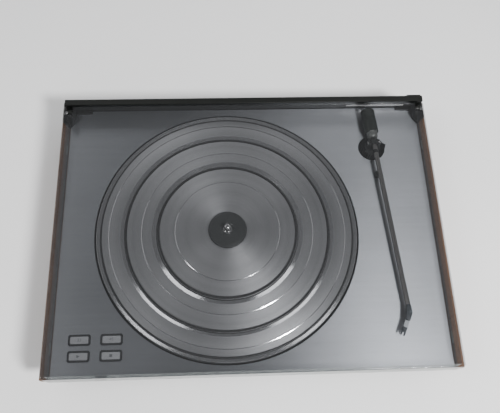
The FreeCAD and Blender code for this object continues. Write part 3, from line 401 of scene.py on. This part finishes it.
# ---------------------------------------------------------------------------
# Mesh helpers
# ---------------------------------------------------------------------------

# A face wider than this, in millimetres, is shaded flat in a piece that asks for it.
FLAT_WIDTH = 2.0
# Corners of a CAD mesh this close are one, in metres, and faces this level with each other, in degrees.
SAME_POINT = 1e-6
SAME_PLANE = 0.6
# Edges of a CAD mesh sharper than this are rounded, in degrees.
SHARP_EDGE = 28
# A point of a turned outline nearer the axis than this, in millimetres, lies on it.
ON_AXIS = 1e-6


def finish_mesh(bm, name, material, body, matrix=None, smooth=35.0, keep_flat=False):
    """Turn a bmesh into a piece that rides on a body. matrix is where its own axes stand.

    keep_flat shades the wide faces flat, so that only narrow faces share in the rounding.
    """
    mesh = bpy.data.meshes.new(name)
    bmesh.ops.recalc_face_normals(bm, faces=bm.faces)
    bm.to_mesh(mesh)
    bm.free()
    mesh.shade_smooth()
    mesh.set_sharp_from_angle(angle=math.radians(smooth))
    if keep_flat:
        for face in mesh.polygons:
            corners = [mesh.vertices[index].co for index in face.vertices]
            following = corners[1:] + corners[:1]
            longest = max((first - second).length for first, second in zip(corners, following))
            if face.area / longest > FLAT_WIDTH * MM:
                face.use_smooth = False
    piece = bpy.data.objects.new(name, mesh)
    bpy.context.scene.collection.objects.link(piece)
    if matrix is not None:
        piece.matrix_world = matrix
        bpy.context.view_layer.update()
    mesh.materials.append(MATERIALS[material])
    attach(piece, body)
    return piece


def lathe(bm, outline, turns=192, axis_matrix=None):
    """Turn a closed outline of (radius, height) in millimetres into bm."""
    rings = []
    for radius, height in outline:
        if radius < ON_AXIS:
            ring = [bm.verts.new((0.0, 0.0, height * MM))]
        else:
            ring = []
            for step in range(turns):
                angle = 2 * math.pi * step / turns
                place = (radius * MM * math.cos(angle), radius * MM * math.sin(angle), height * MM)
                ring.append(bm.verts.new(place))
        rings.append(ring)
    for first, second in zip(rings, rings[1:] + rings[:1]):
        for step in range(turns):
            after = (step + 1) % turns
            corners = []
            if len(first) > 1:
                corners += [first[step], first[after]]
            else:
                corners += [first[0]]
            if len(second) > 1:
                corners += [second[after], second[step]]
            else:
                corners += [second[0]]
            if len(corners) > 2:
                bm.faces.new(corners)
    if axis_matrix is not None:
        bmesh.ops.transform(bm, matrix=axis_matrix, verts=bm.verts)
    return bm


def round_outline(size_x, size_y, corner, steps=6):
    """Points round a rectangle with rounded corners, in millimetres about its middle."""
    points = []
    half_x = size_x / 2 - corner
    half_y = size_y / 2 - corner
    for quarter, (sx, sy) in enumerate(((1, 1), (-1, 1), (-1, -1), (1, -1))):
        for step in range(steps + 1):
            angle = math.pi / 2 * (quarter + step / steps)
            points.append((sx * half_x + corner * math.cos(angle), sy * half_y + corner * math.sin(angle)))
    return points


def stack(bm, layers):
    """Join rings of points, each (points, height) in millimetres, and close both ends."""
    rings = []
    for points, height in layers:
        rings.append([bm.verts.new((x * MM, y * MM, height * MM)) for x, y in points])
    count = len(rings[0])
    for low, high in zip(rings, rings[1:]):
        for step in range(count):
            after = (step + 1) % count
            bm.faces.new((low[step], low[after], high[after], high[step]))
    bm.faces.new(rings[0][::-1])
    bm.faces.new(rings[-1])


def merged_copy(node):
    """A copy of a CAD node's mesh, with its triangles merged into whole faces."""
    bm = bmesh.new()
    bm.from_mesh(frame["nodes"][node].data)
    bmesh.ops.remove_doubles(bm, verts=bm.verts, dist=SAME_POINT)
    bmesh.ops.dissolve_limit(bm, angle_limit=math.radians(SAME_PLANE), verts=bm.verts, edges=bm.edges)
    return bm


def rounded(bm, edges, width, segments):
    """Round edges of bm over a width in millimetres."""
    bmesh.ops.bevel(bm, geom=edges, offset=width * MM, segments=segments, profile=0.5,
                    affect="EDGES", clamp_overlap=True)


def softened(node, width, material=None):
    """A copy of a CAD node with its hard edges rounded, which stands for it."""
    bm = merged_copy(node)
    sharp = [edge for edge in bm.edges
             if len(edge.link_faces) == 2 and edge.calc_face_angle(0.0) > math.radians(SHARP_EDGE)]
    rounded(bm, sharp, width, 2)
    piece = finish_mesh(bm, node + "_shape", material or SLOT_OF[node], BODY_OF[node],
                        keep_flat=True)
    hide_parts(node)


# ---------------------------------------------------------------------------
# Dust cover
# ---------------------------------------------------------------------------

def dust_cover():
    """The smoked cover, with its cut lower edges in a darker, hazier finish."""
    bm = merged_copy("dust_lid")
    piece = finish_mesh(bm, "dust_cover", "smoked_acrylic", "lid", smooth=30.0,
                        keep_flat=True)
    piece.data.materials.append(MATERIALS["acrylic_edge"])
    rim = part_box("dust_lid")[0].z + 1 * MM
    facing_down = -0.9
    for face in piece.data.polygons:
        if face.normal.z < facing_down and face.center.z < rim:
            face.material_index = 1
    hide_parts("dust_lid")


# ---------------------------------------------------------------------------
# Platter
# ---------------------------------------------------------------------------

RINGS = {"platter_ring_inner": (73.0, 75.0, 0.5, 2.9), "platter_ring_middle": (107.4, 109.2, 0.5, 2.9),
         "platter_ring_outer": (133.5, 134.7, 0.9, 2.7)}
# Each land of the platter: its fine step's radius, the groove's radii and floor, and the foot and end
# of the bevel behind it
LANDS = ((55.7, 72.4, 75.4, 0.5, 0.5, 80.6), (91.2, 106.9, 109.6, 0.5, 0.94, 113.6),
         (125.7, 133.4, 134.8, 0.9, 0.98, 138.7))


# Radius of the platter's bore, and heights of its top, of each land's lowered part and of its underside
BORE_R = 5.1
PLATTER_TOP = 2.4
LAND_LOW = 2.15
PLATTER_UNDER = -2.1


def platter():
    """Turned disc with a fine step down, a ring groove and a polished rising bevel round each land."""
    top = PLATTER_TOP
    low = LAND_LOW
    under = PLATTER_UNDER
    outline = [(BORE_R, under), (BORE_R, top - 1.0), (20.5, top - 1.0), (20.6, top - 0.9), (20.6, top - 0.1),
               (20.7, top)]
    for step_r, groove_in, groove_out, floor, foot, bevel_end in LANDS:
        outline += [(step_r, top), (step_r + 0.7, low), (groove_in - 0.15, low), (groove_in, low - 0.15),
                    (groove_in, floor), (groove_out, floor), (groove_out, foot), (bevel_end, top)]
    outline += [(138.9, top - 0.1), (139.0, top - 0.4), (139.0, -7.3), (138.8, -7.5), (135.2, -7.5),
                (135.0, -7.3), (132.0, under)]
    bm = lathe(bmesh.new(), outline, 360)
    piece = finish_mesh(bm, "platter_disc", "platter_metal", "platter",
                        Matrix.Translation(PLATTER), smooth=10.0)
    piece.data.materials.append(MATERIALS["platter_bevel"])
    steepest, flattest = 0.5, 0.99
    for face in piece.data.polygons:
        if steepest < face.normal.z < flattest:
            face.material_index = 1
    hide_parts("platter")


def platter_rings():
    """Three rubber rings with rounded tops that a record rests on."""
    for node, (r_in, r_out, low, high) in RINGS.items():
        middle = (r_in + r_out) / 2
        half = (r_out - r_in) / 2
        crown = 0.5
        shoulder = high - crown
        steps = 6
        outline = [(r_in, low), (r_in, shoulder)]
        for step in range(1, steps):
            angle = math.pi * step / steps
            outline.append((middle - half * math.cos(angle), shoulder + crown * math.sin(angle)))
        outline += [(r_out, shoulder), (r_out, low)]
        bm = lathe(bmesh.new(), outline, 240)
        piece = finish_mesh(bm, node + "_shape", "ring_rubber", "platter",
                            Matrix.Translation(PLATTER))
        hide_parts(node)


def hub():
    """Hub cap with a shallow dish, a rounded rim and two turned lines, and the spindle through it."""
    seat = PLATTER_TOP - 1.0
    outline = [(BORE_R, seat), (20.2, seat), (20.2, 4.3), (20.1, 4.6), (19.8, 4.9), (19.4, 5.0),
               (18.6, 4.98), (18.4, 4.86), (18.2, 4.86), (18.0, 4.96), (8.0, 4.8), (7.6, 4.72),
               (6.6, 4.2), (BORE_R, 4.2)]
    bm = lathe(bmesh.new(), outline, 128)
    cap = finish_mesh(bm, "hub_cap_shape", "hub_plastic", "platter",
                      Matrix.Translation(PLATTER), smooth=25.0)
    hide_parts("hub_cap")
    shaft_end = (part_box("spindle")[0].z - DECK.z) / MM
    outline = [(0.0, shaft_end), (4.6, shaft_end), (5.0, shaft_end + 0.4), (5.0, 4.1), (4.8, 4.4),
               (3.7, 4.5), (3.55, 4.7), (3.55, 12.6), (3.45, 13.1), (3.1, 13.9), (2.5, 14.5),
               (1.6, 14.9), (0.8, 15.0), (0.0, 15.0)]
    bm = lathe(bmesh.new(), outline, 64)
    pin = finish_mesh(bm, "spindle_shape", "spindle_steel", "platter",
                      Matrix.Translation(PLATTER))
    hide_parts("spindle")


# ---------------------------------------------------------------------------
# Tonearm. Its own frame has the pivot at the origin and the tube along -Y.
# ---------------------------------------------------------------------------

TUBE_R = 2.6
TUBE_BORE_R = 2.0
TUBE_START_Y = -0.5
TUBE_END_Y = -185.3
TUBE_DROP = 1.9
KNEE = Vector((0.6, -193.4))
HEAD_TIP = Vector((-11.5, -215.0))
DECK_Z = (DECK.z - ARM.z) / MM
ALONG_Y = Matrix.Rotation(math.radians(-90), 4, "X")


def on_head(along, across):
    """A point of the head: distance from the knee, and offset to the right."""
    line = (HEAD_TIP - KNEE).normalized()
    side = Vector((-line.y, line.x))
    return tuple(KNEE + line * along + side * across)


def arm_tube():
    """The tube with a thin collar near its pivot end."""
    length = math.hypot(TUBE_END_Y - TUBE_START_Y, TUBE_DROP)
    outline = [(TUBE_BORE_R, 0.0), (TUBE_R, 0.0), (TUBE_R, length), (TUBE_BORE_R, length)]
    tilt = math.atan2(TUBE_DROP, TUBE_START_Y - TUBE_END_Y)
    turn = Matrix.Rotation(math.radians(90) + tilt, 4, "X")
    shift = Matrix.Translation(Vector((0, TUBE_START_Y * MM, 0)))
    bm = lathe(bmesh.new(), outline, 48, shift @ turn)
    piece = finish_mesh(bm, "arm_tube_shape", "tube_metal", "arm", ARM_FRAME)
    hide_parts("arm_tube")
    collar = [(TUBE_R + 0.01, 8.0), (TUBE_R + 0.35, 8.2), (TUBE_R + 0.35, 11.8), (TUBE_R + 0.01, 12.0)]
    bm = lathe(bmesh.new(), collar, 48, shift @ turn)
    finish_mesh(bm, "arm_tube_collar", "block_metal", "arm", ARM_FRAME)


def prism(name, points, low, high, material, edge):
    """An upright prism in the tonearm's frame with rounded edges, heights from the deck."""
    bm = bmesh.new()
    stack(bm, [(points, low + DECK_Z), (points, high + DECK_Z)])
    rounded(bm, bm.edges[:], edge, 3)
    return finish_mesh(bm, name, material, "arm", ARM_FRAME)


def arm_head():
    """Bent knee, pickup, its light top plate, forked finger lift and stylus guard."""
    half = 2.4
    knee_low, knee_high = 6.2, 11.4
    knee = [(-half, TUBE_END_Y - 0.1), (-half, KNEE.y + 0.6), on_head(9.0, -half), on_head(9.0, half),
            on_head(0.5, half), (half, KNEE.y + 1.0), (half, TUBE_END_Y - 0.1)]
    piece = prism("arm_knee_shape", knee, knee_low, knee_high, "head_plastic", 0.8)
    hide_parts("arm_knee")
    body = [on_head(9.1, -half), on_head(20.0, -half), on_head(20.0, half), on_head(9.1, half)]
    pickup = prism("pickup_body", body, 4.8, 9.2, "head_plastic", 0.5)
    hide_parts("cartridge")
    wide = 2.2
    plate = [on_head(9.4, -wide), on_head(16.4, -wide), on_head(16.4, wide), on_head(9.4, wide)]
    prism("pickup_plate", plate, 9.15, 9.6, "head_plate", 0.15)
    lift = [on_head(19.5, -2.3), on_head(21.4, -2.4), on_head(24.6, -2.3), on_head(25.0, -2.0),
            on_head(25.0, -1.2), on_head(24.6, -0.9), on_head(21.4, -0.9), on_head(21.4, 0.9),
            on_head(24.6, 0.9), on_head(25.0, 1.2), on_head(25.0, 2.0), on_head(24.6, 2.3),
            on_head(21.4, 2.4), on_head(19.5, 2.3)]
    prism("finger_lift", lift, 7.2, 8.6, "head_plastic", 0.2)
    guard = [on_head(18.6, -1.5), on_head(19.8, -1.5), on_head(19.8, 1.5), on_head(18.6, 1.5)]
    prism("stylus_guard", guard, 4.0, 5.0, "head_plastic", 0.2)
    place = Matrix.Translation(Vector((KNEE.x * MM, KNEE.y * MM, (knee_high - 0.05 + DECK_Z) * MM)))
    bm = lathe(bmesh.new(), [(0.0, 0.0), (1.3, 0.0), (1.3, 0.2), (1.1, 0.35), (0.0, 0.4)], 32, place)
    finish_mesh(bm, "knee_screw", "knee_mark", "arm", ARM_FRAME)


def counterweight():
    """Balance weight with a light domed nose, a grip band of fine grooves and a back cap."""
    front = 5.8
    length = 36.2
    radius = 7.7
    nose = 6.0
    nose_end = 7.5
    outline = [(2.56, 0.3), (3.0, 0.0), (4.0, 0.1), (4.9, 0.6), (5.5, 1.4), (5.85, 2.4), (nose, 3.4),
               (nose, nose_end - 0.3), (nose + 0.2, nose_end), (7.2, nose_end), (7.55, 7.65), (radius, 8.0)]
    grip_start = 23.0
    groove_count = 9
    groove_pitch = 0.8
    groove_r = radius - 0.22
    for step in range(groove_count):
        at = grip_start + step * groove_pitch
        outline += [(radius, at), (groove_r, at + 0.2), (groove_r, at + 0.4), (radius, at + 0.6)]
    outline += [(radius, length - 1.2), (radius - 0.25, length - 0.5), (radius - 0.9, length),
                (2.0, length), (1.8, length - 0.5), (0.0, length - 0.5), (0.0, length - 1.2),
                (2.56, length - 1.2)]
    place = Matrix.Translation(Vector((0, front * MM, 0)))
    bm = lathe(bmesh.new(), outline, 96, place @ ALONG_Y)
    piece = finish_mesh(bm, "counterweight_shape", "weight_metal", "weight", ARM_FRAME)
    piece.data.materials.append(MATERIALS["weight_face"])
    for face in piece.data.polygons:
        if face.center.y < (front + nose_end - 0.1) * MM:
            face.material_index = 1
    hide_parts("counterweight")


def pivot_details():
    """Pivot pin caps and the small polished screw on top of the fork."""
    for side in (-1, 1):
        outline = [(0.0, 0.0), (1.5, 0.0), (1.5, 0.5), (1.2, 0.8), (0.0, 0.9)]
        place = Matrix.Translation(Vector((side * 6.6 * MM, 0, 0)))
        turn = Matrix.Rotation(math.radians(90 * side), 4, "Y")
        bm = lathe(bmesh.new(), outline, 32, place @ turn)
        finish_mesh(bm, "pivot_cap_%s" % ("right" if side > 0 else "left"), "ball_steel", "arm_turn",
                    ARM_FRAME)
    outline = [(0.0, 0.0), (1.1, 0.0), (1.1, 0.5), (0.8, 0.85), (0.3, 1.0), (0.0, 1.0)]
    place = Matrix.Translation(Vector((5.5, 0, 2.4)) * MM)
    bm = lathe(bmesh.new(), outline, 32, place)
    finish_mesh(bm, "pivot_lock_screw", "ball_steel", "arm_turn", ARM_FRAME)


# ---------------------------------------------------------------------------
# Keys
# ---------------------------------------------------------------------------

# A key's width and depth, its stem's width, corner radius, the flange's heights that hold it under the
# deck, and the width, height and steps of the rounding round its top
KEY_SIZE = (18.0, 7.2)
KEY_STEM = 3.4
KEY_CORNER = 1.2
KEY_FLANGE_Z = (-6.5, -5.0)
KEY_ROUND_WIDE = 0.5
KEY_ROUND_TALL = 0.55
KEY_ROUND_STEPS = 4
# Height of the printed figures, and half the thickness of the print
FIGURE_SIZE = 4.2
PRINT_HALF = 0.03


def key_text(name, body, words, place):
    """Printed figures on a key, as a thin raised layer."""
    curve = bpy.data.curves.new(name + "_curve", "FONT")
    curve.body = words
    curve.size = FIGURE_SIZE * MM
    curve.align_x = "CENTER"
    curve.align_y = "CENTER"
    curve.extrude = PRINT_HALF * MM
    lettering = bpy.data.objects.new(name + "_source", curve)
    bpy.context.scene.collection.objects.link(lettering)
    bpy.context.view_layer.update()
    mesh = bpy.data.meshes.new_from_object(lettering.evaluated_get(bpy.context.evaluated_depsgraph_get()))
    bpy.data.objects.remove(lettering)
    bm = bmesh.new()
    bm.from_mesh(mesh)
    bmesh.ops.remove_doubles(bm, verts=bm.verts, dist=1e-7)
    finish_mesh(bm, name, "key_print", body, Matrix.Translation(place))


def key_mark(name, body, shapes, place):
    """A printed mark made of flat outlines, in millimetres about the key's middle."""
    bm = bmesh.new()
    for points in shapes:
        stack(bm, [(points, -PRINT_HALF), (points, PRINT_HALF)])
    finish_mesh(bm, name, "key_print", body, Matrix.Translation(place))


def keys():
    """Key caps with a shallow dished top, and their marks."""
    triangle = [[(-1.6, -1.6), (1.6, 0.0), (-1.6, 1.6)]]
    square = [[(-1.4, -1.4), (1.4, -1.4), (1.4, 1.4), (-1.4, 1.4)]]
    marks = {"key_speed_33": "33", "key_speed_45": "45", "key_start": triangle, "key_stop": square}
    for node, mark in marks.items():
        low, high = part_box(node)
        middle = Vector(((low.x + high.x) / 2, (low.y + high.y) / 2, DECK.z))
        body = BODY_OF[node]
        top = (high.z - DECK.z) / MM
        bottom = (low.z - DECK.z) / MM
        wide, deep = KEY_SIZE
        flange_low, flange_high = KEY_FLANGE_Z
        stem = round_outline(KEY_STEM, KEY_STEM, 1.6)
        flange = round_outline(wide + 1.6, deep + 1.0, KEY_CORNER)
        sides = round_outline(wide, deep, KEY_CORNER)
        shoulder = top - KEY_ROUND_TALL
        layers = [(stem, bottom), (stem, flange_low), (flange, flange_low), (flange, flange_high),
                  (sides, flange_high), (sides, shoulder)]
        for step in range(1, KEY_ROUND_STEPS + 1):
            angle = math.pi / 2 * step / KEY_ROUND_STEPS
            inset = KEY_ROUND_WIDE * (1 - math.cos(angle))
            layers.append((round_outline(wide - 2 * inset, deep - 2 * inset, KEY_CORNER - inset / 2),
                           shoulder + KEY_ROUND_TALL * math.sin(angle)))
        layers.append((round_outline(wide - 1.8, deep - 1.8, 0.9), top))
        layers.append((round_outline(wide - 3.2, deep - 3.2, 0.6), top - 0.12))
        layers.append((round_outline(wide - 6.0, deep - 5.6, 0.4), top - 0.2))
        bm = bmesh.new()
        stack(bm, layers)
        cap = finish_mesh(bm, node + "_cap", "key_plastic", body,
                          Matrix.Translation(middle), smooth=40.0)
        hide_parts(node)
        face = middle + Vector((0, 0, (top - 0.18) * MM))
        if isinstance(mark, str):
            key_text(node + "_mark", body, mark, face)
        else:
            key_mark(node + "_mark", body, mark, face)


# ---------------------------------------------------------------------------
# Springs, feet and back
# ---------------------------------------------------------------------------

SPRING_SPOTS = ((-118.0, -52.0), (58.0, -98.0), (60.0, 112.0))


def springs():
    """Coil springs of round wire between the tray's seats and the chassis."""
    low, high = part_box("suspension_springs")
    wire = 0.8
    radius = 7.0
    turns = 4.5
    steps_per_turn = 32
    steps = int(turns * steps_per_turn)
    sides = 10
    floor = (low.z - DECK.z) / MM + wire
    tall = (high.z - low.z) / MM - 2 * wire
    bm = bmesh.new()
    for x, y in SPRING_SPOTS:
        rings = []
        for step in range(steps + 1):
            angle = 2 * math.pi * turns * step / steps
            out = Vector((math.cos(angle), math.sin(angle), 0.0))
            middle = Vector((x, y, floor + tall * step / steps)) + out * radius
            ring = []
            for side in range(sides):
                around = 2 * math.pi * side / sides
                ring.append(bm.verts.new((middle + out * wire * math.cos(around)
                                          + Vector((0, 0, wire * math.sin(around)))) * MM))
            rings.append(ring)
        for first, second in zip(rings, rings[1:]):
            for side in range(sides):
                after = (side + 1) % sides
                bm.faces.new((first[side], first[after], second[after], second[side]))
        bm.faces.new(rings[0][::-1])
        bm.faces.new(rings[-1])
    bmesh.ops.recalc_face_normals(bm, faces=bm.faces)
    mesh = bpy.data.meshes.new("suspension_coils")
    bm.to_mesh(mesh)
    bm.free()
    mesh.shade_smooth()
    mesh.set_sharp_from_angle(angle=math.radians(50))
    mesh.materials.append(MATERIALS["post_steel"])
    coils = bpy.data.objects.new("suspension_coils", mesh)
    bpy.context.scene.collection.objects.link(coils)
    coils.location = DECK
    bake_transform(coils)
    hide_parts("suspension_springs")


def feet():
    """Rubber feet with two soft rings and a recessed screw hole."""
    for node in ("foot_front_left", "foot_front_right", "foot_back_left", "foot_back_right"):
        low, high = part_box(node)
        middle = Vector(((low.x + high.x) / 2, (low.y + high.y) / 2, low.z))
        tall = (high.z - low.z) / MM
        outline = [(2.2, 4.0), (6.5, 4.0), (6.5, 0.5), (6.9, 0.1), (7.4, 0.0), (12.2, 0.0), (13.2, 0.25),
                   (14.3, 1.2), (14.9, 2.3), (14.9, 3.2), (14.4, 3.6), (14.4, 4.0), (14.9, 4.4),
                   (14.8, 5.2), (14.3, 5.6), (14.3, 6.0), (14.6, 6.3), (14.2, tall - 0.2), (14.0, tall),
                   (2.2, tall)]
        bm = lathe(bmesh.new(), outline, 96)
        piece = finish_mesh(bm, node + "_shape", "foot_rubber", "base",
                            Matrix.Translation(middle))
        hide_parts(node)


def back_plate():
    """A blank rating plate with two rivets on the back wall."""
    tray_low, tray_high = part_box("base_tray")
    middle = Vector((0.09, tray_high.y, tray_low.z + 17 * MM))
    upright = Matrix.Translation(middle) @ Matrix.Rotation(math.radians(-90), 4, "X")
    bm = bmesh.new()
    wide, tall = 62.0, 16.0
    bevel = 0.6
    outline = round_outline(wide, tall, 1.5)
    inner = round_outline(wide - bevel, tall - bevel, 1.3)
    stack(bm, [(outline, 0.0), (outline, 0.3), (inner, 0.4)])
    rivet_x = 28.5
    finish_mesh(bm, "rating_plate", "plate_metal", "base", upright)
    for side in (-1, 1):
        bm = lathe(bmesh.new(), [(0.0, 0.4), (1.3, 0.4), (1.1, 0.75), (0.6, 0.9), (0.0, 0.95)], 24)
        place = upright @ Matrix.Translation(Vector((side * rivet_x * MM, 0, 0)))
        finish_mesh(bm, "plate_rivet_%s" % ("right" if side > 0 else "left"), "screw_steel", "base",
                    place)


# ---------------------------------------------------------------------------
# Stage, lights and camera
# ---------------------------------------------------------------------------

def stage():
    """A pale floor under the player."""
    half_width = 4.0
    bm = bmesh.new()
    bmesh.ops.create_grid(bm, x_segments=1, y_segments=1, size=half_width)
    mesh = bpy.data.meshes.new("floor")
    bm.to_mesh(mesh)
    bm.free()
    floor = bpy.data.objects.new("floor", mesh)
    bpy.context.scene.collection.objects.link(floor)
    material, tree, shader, coords = new_material("floor_paper")
    clouds = noise(tree, coords, (3.0, 3.0, 3.0))
    tone = ramp(tree, clouds, [(0.3, (0.90, 0.90, 0.90)), (0.7, (0.93, 0.93, 0.93))])
    tree.links.new(tone, shader.inputs["Base Color"])
    shader.inputs["Roughness"].default_value = 0.9
    mesh.materials.append(material)


def disc_light(name, place, radius, power):
    """A round lamp aimed at the middle of the deck."""
    light = bpy.data.lights.new(name, "AREA")
    light.shape = "DISK"
    light.size = 2 * radius
    light.energy = power
    lamp = bpy.data.objects.new(name, light)
    bpy.context.scene.collection.objects.link(lamp)
    lamp.location = DECK + Vector(place)
    lamp.rotation_mode = "QUATERNION"
    lamp.rotation_quaternion = (-Vector(place)).to_track_quat("-Z", "Y")


WORLD_COLOUR = (0.97, 0.98, 1.0, 1.0)
WORLD_STRENGTH = 0.32
# Each lamp: its place from the middle of the deck and its radius, in metres, and its power in watts
LAMPS = {
    "key_light": ((0.45, -0.55, 1.0), 0.10, 22.0),
    "side_light": ((-0.70, -0.20, 1.2), 0.15, 3.0),
    "back_light_right": ((0.78, 1.84, 1.66), 0.40, 7.0),
    "back_light_left": ((-0.78, 1.84, 1.66), 0.40, 7.0),
    "fill_right": ((1.6, 0.5, 1.0), 0.80, 5.0),
    "fill_left": ((-1.6, 0.5, 1.0), 0.80, 6.0),
    "front_fill": ((0.0, -2.4, 1.4), 0.80, 6.0),
}


def lights():
    """A soft pale world, and the lamps."""
    world = bpy.data.worlds.new("studio")
    bpy.context.scene.world = world
    world.use_nodes = True
    background = world.node_tree.nodes["Background"]
    background.inputs["Color"].default_value = WORLD_COLOUR
    background.inputs["Strength"].default_value = WORLD_STRENGTH
    for name, (place, radius, power) in LAMPS.items():
        disc_light(name, place, radius, power)


def camera():
    """A camera above the front of the player, turned a little to its left."""
    eye = on_deck(-27.6, -225.7, 619.2)
    azimuth = math.radians(-6.507)
    elevation = math.radians(67.62)
    roll = math.radians(4.89)
    back = Vector((math.sin(azimuth) * math.cos(elevation), -math.cos(azimuth) * math.cos(elevation),
                   math.sin(elevation)))
    lens = bpy.data.cameras.new("camera")
    lens.sensor_width = 36.0
    lens.lens = 44.13
    lens.clip_start = 0.01
    view = bpy.data.objects.new("camera", lens)
    bpy.context.scene.collection.objects.link(view)
    view.rotation_mode = "QUATERNION"
    aim = (-back).to_track_quat("-Z", "Y")
    view.rotation_quaternion = aim @ Matrix.Rotation(roll, 3, "Z").to_quaternion()
    view.location = eye
    bpy.context.scene.camera = view


# ---------------------------------------------------------------------------
# Build
# ---------------------------------------------------------------------------

camera()
stage()
lights()

dust_cover()
platter()
platter_rings()
hub()
arm_tube()
arm_head()
counterweight()
pivot_details()
keys()
springs()
feet()
back_plate()

SOFT_EDGES = {"rear_rail": 0.5, "base_tray": 0.5, "side_panel_left": 0.35, "side_panel_right": 0.35,
              "corner_cap_left": 0.4, "corner_cap_right": 0.4, "hinge_cheek_left": 0.3,
              "hinge_cheek_right": 0.3, "key_frames": 0.2, "arm_rest": 0.3, "arm_yoke": 0.25,
              "pivot_block": 0.2, "arm_recess_trim": 0.12, "cable_glands": 0.3,
              "arm_lift_bar": 0.15, "lid_pads": 0.1, "hinge_pins": 0.2}
for node, width in SOFT_EDGES.items():
    softened(node, width, material="block_metal" if node == "arm_lift_bar" else None)

for node, cad in frame["nodes"].items():
    if not cad.hide_render:
        cad.data.materials.clear()
        cad.data.materials.append(MATERIALS[SLOT_OF[node]])
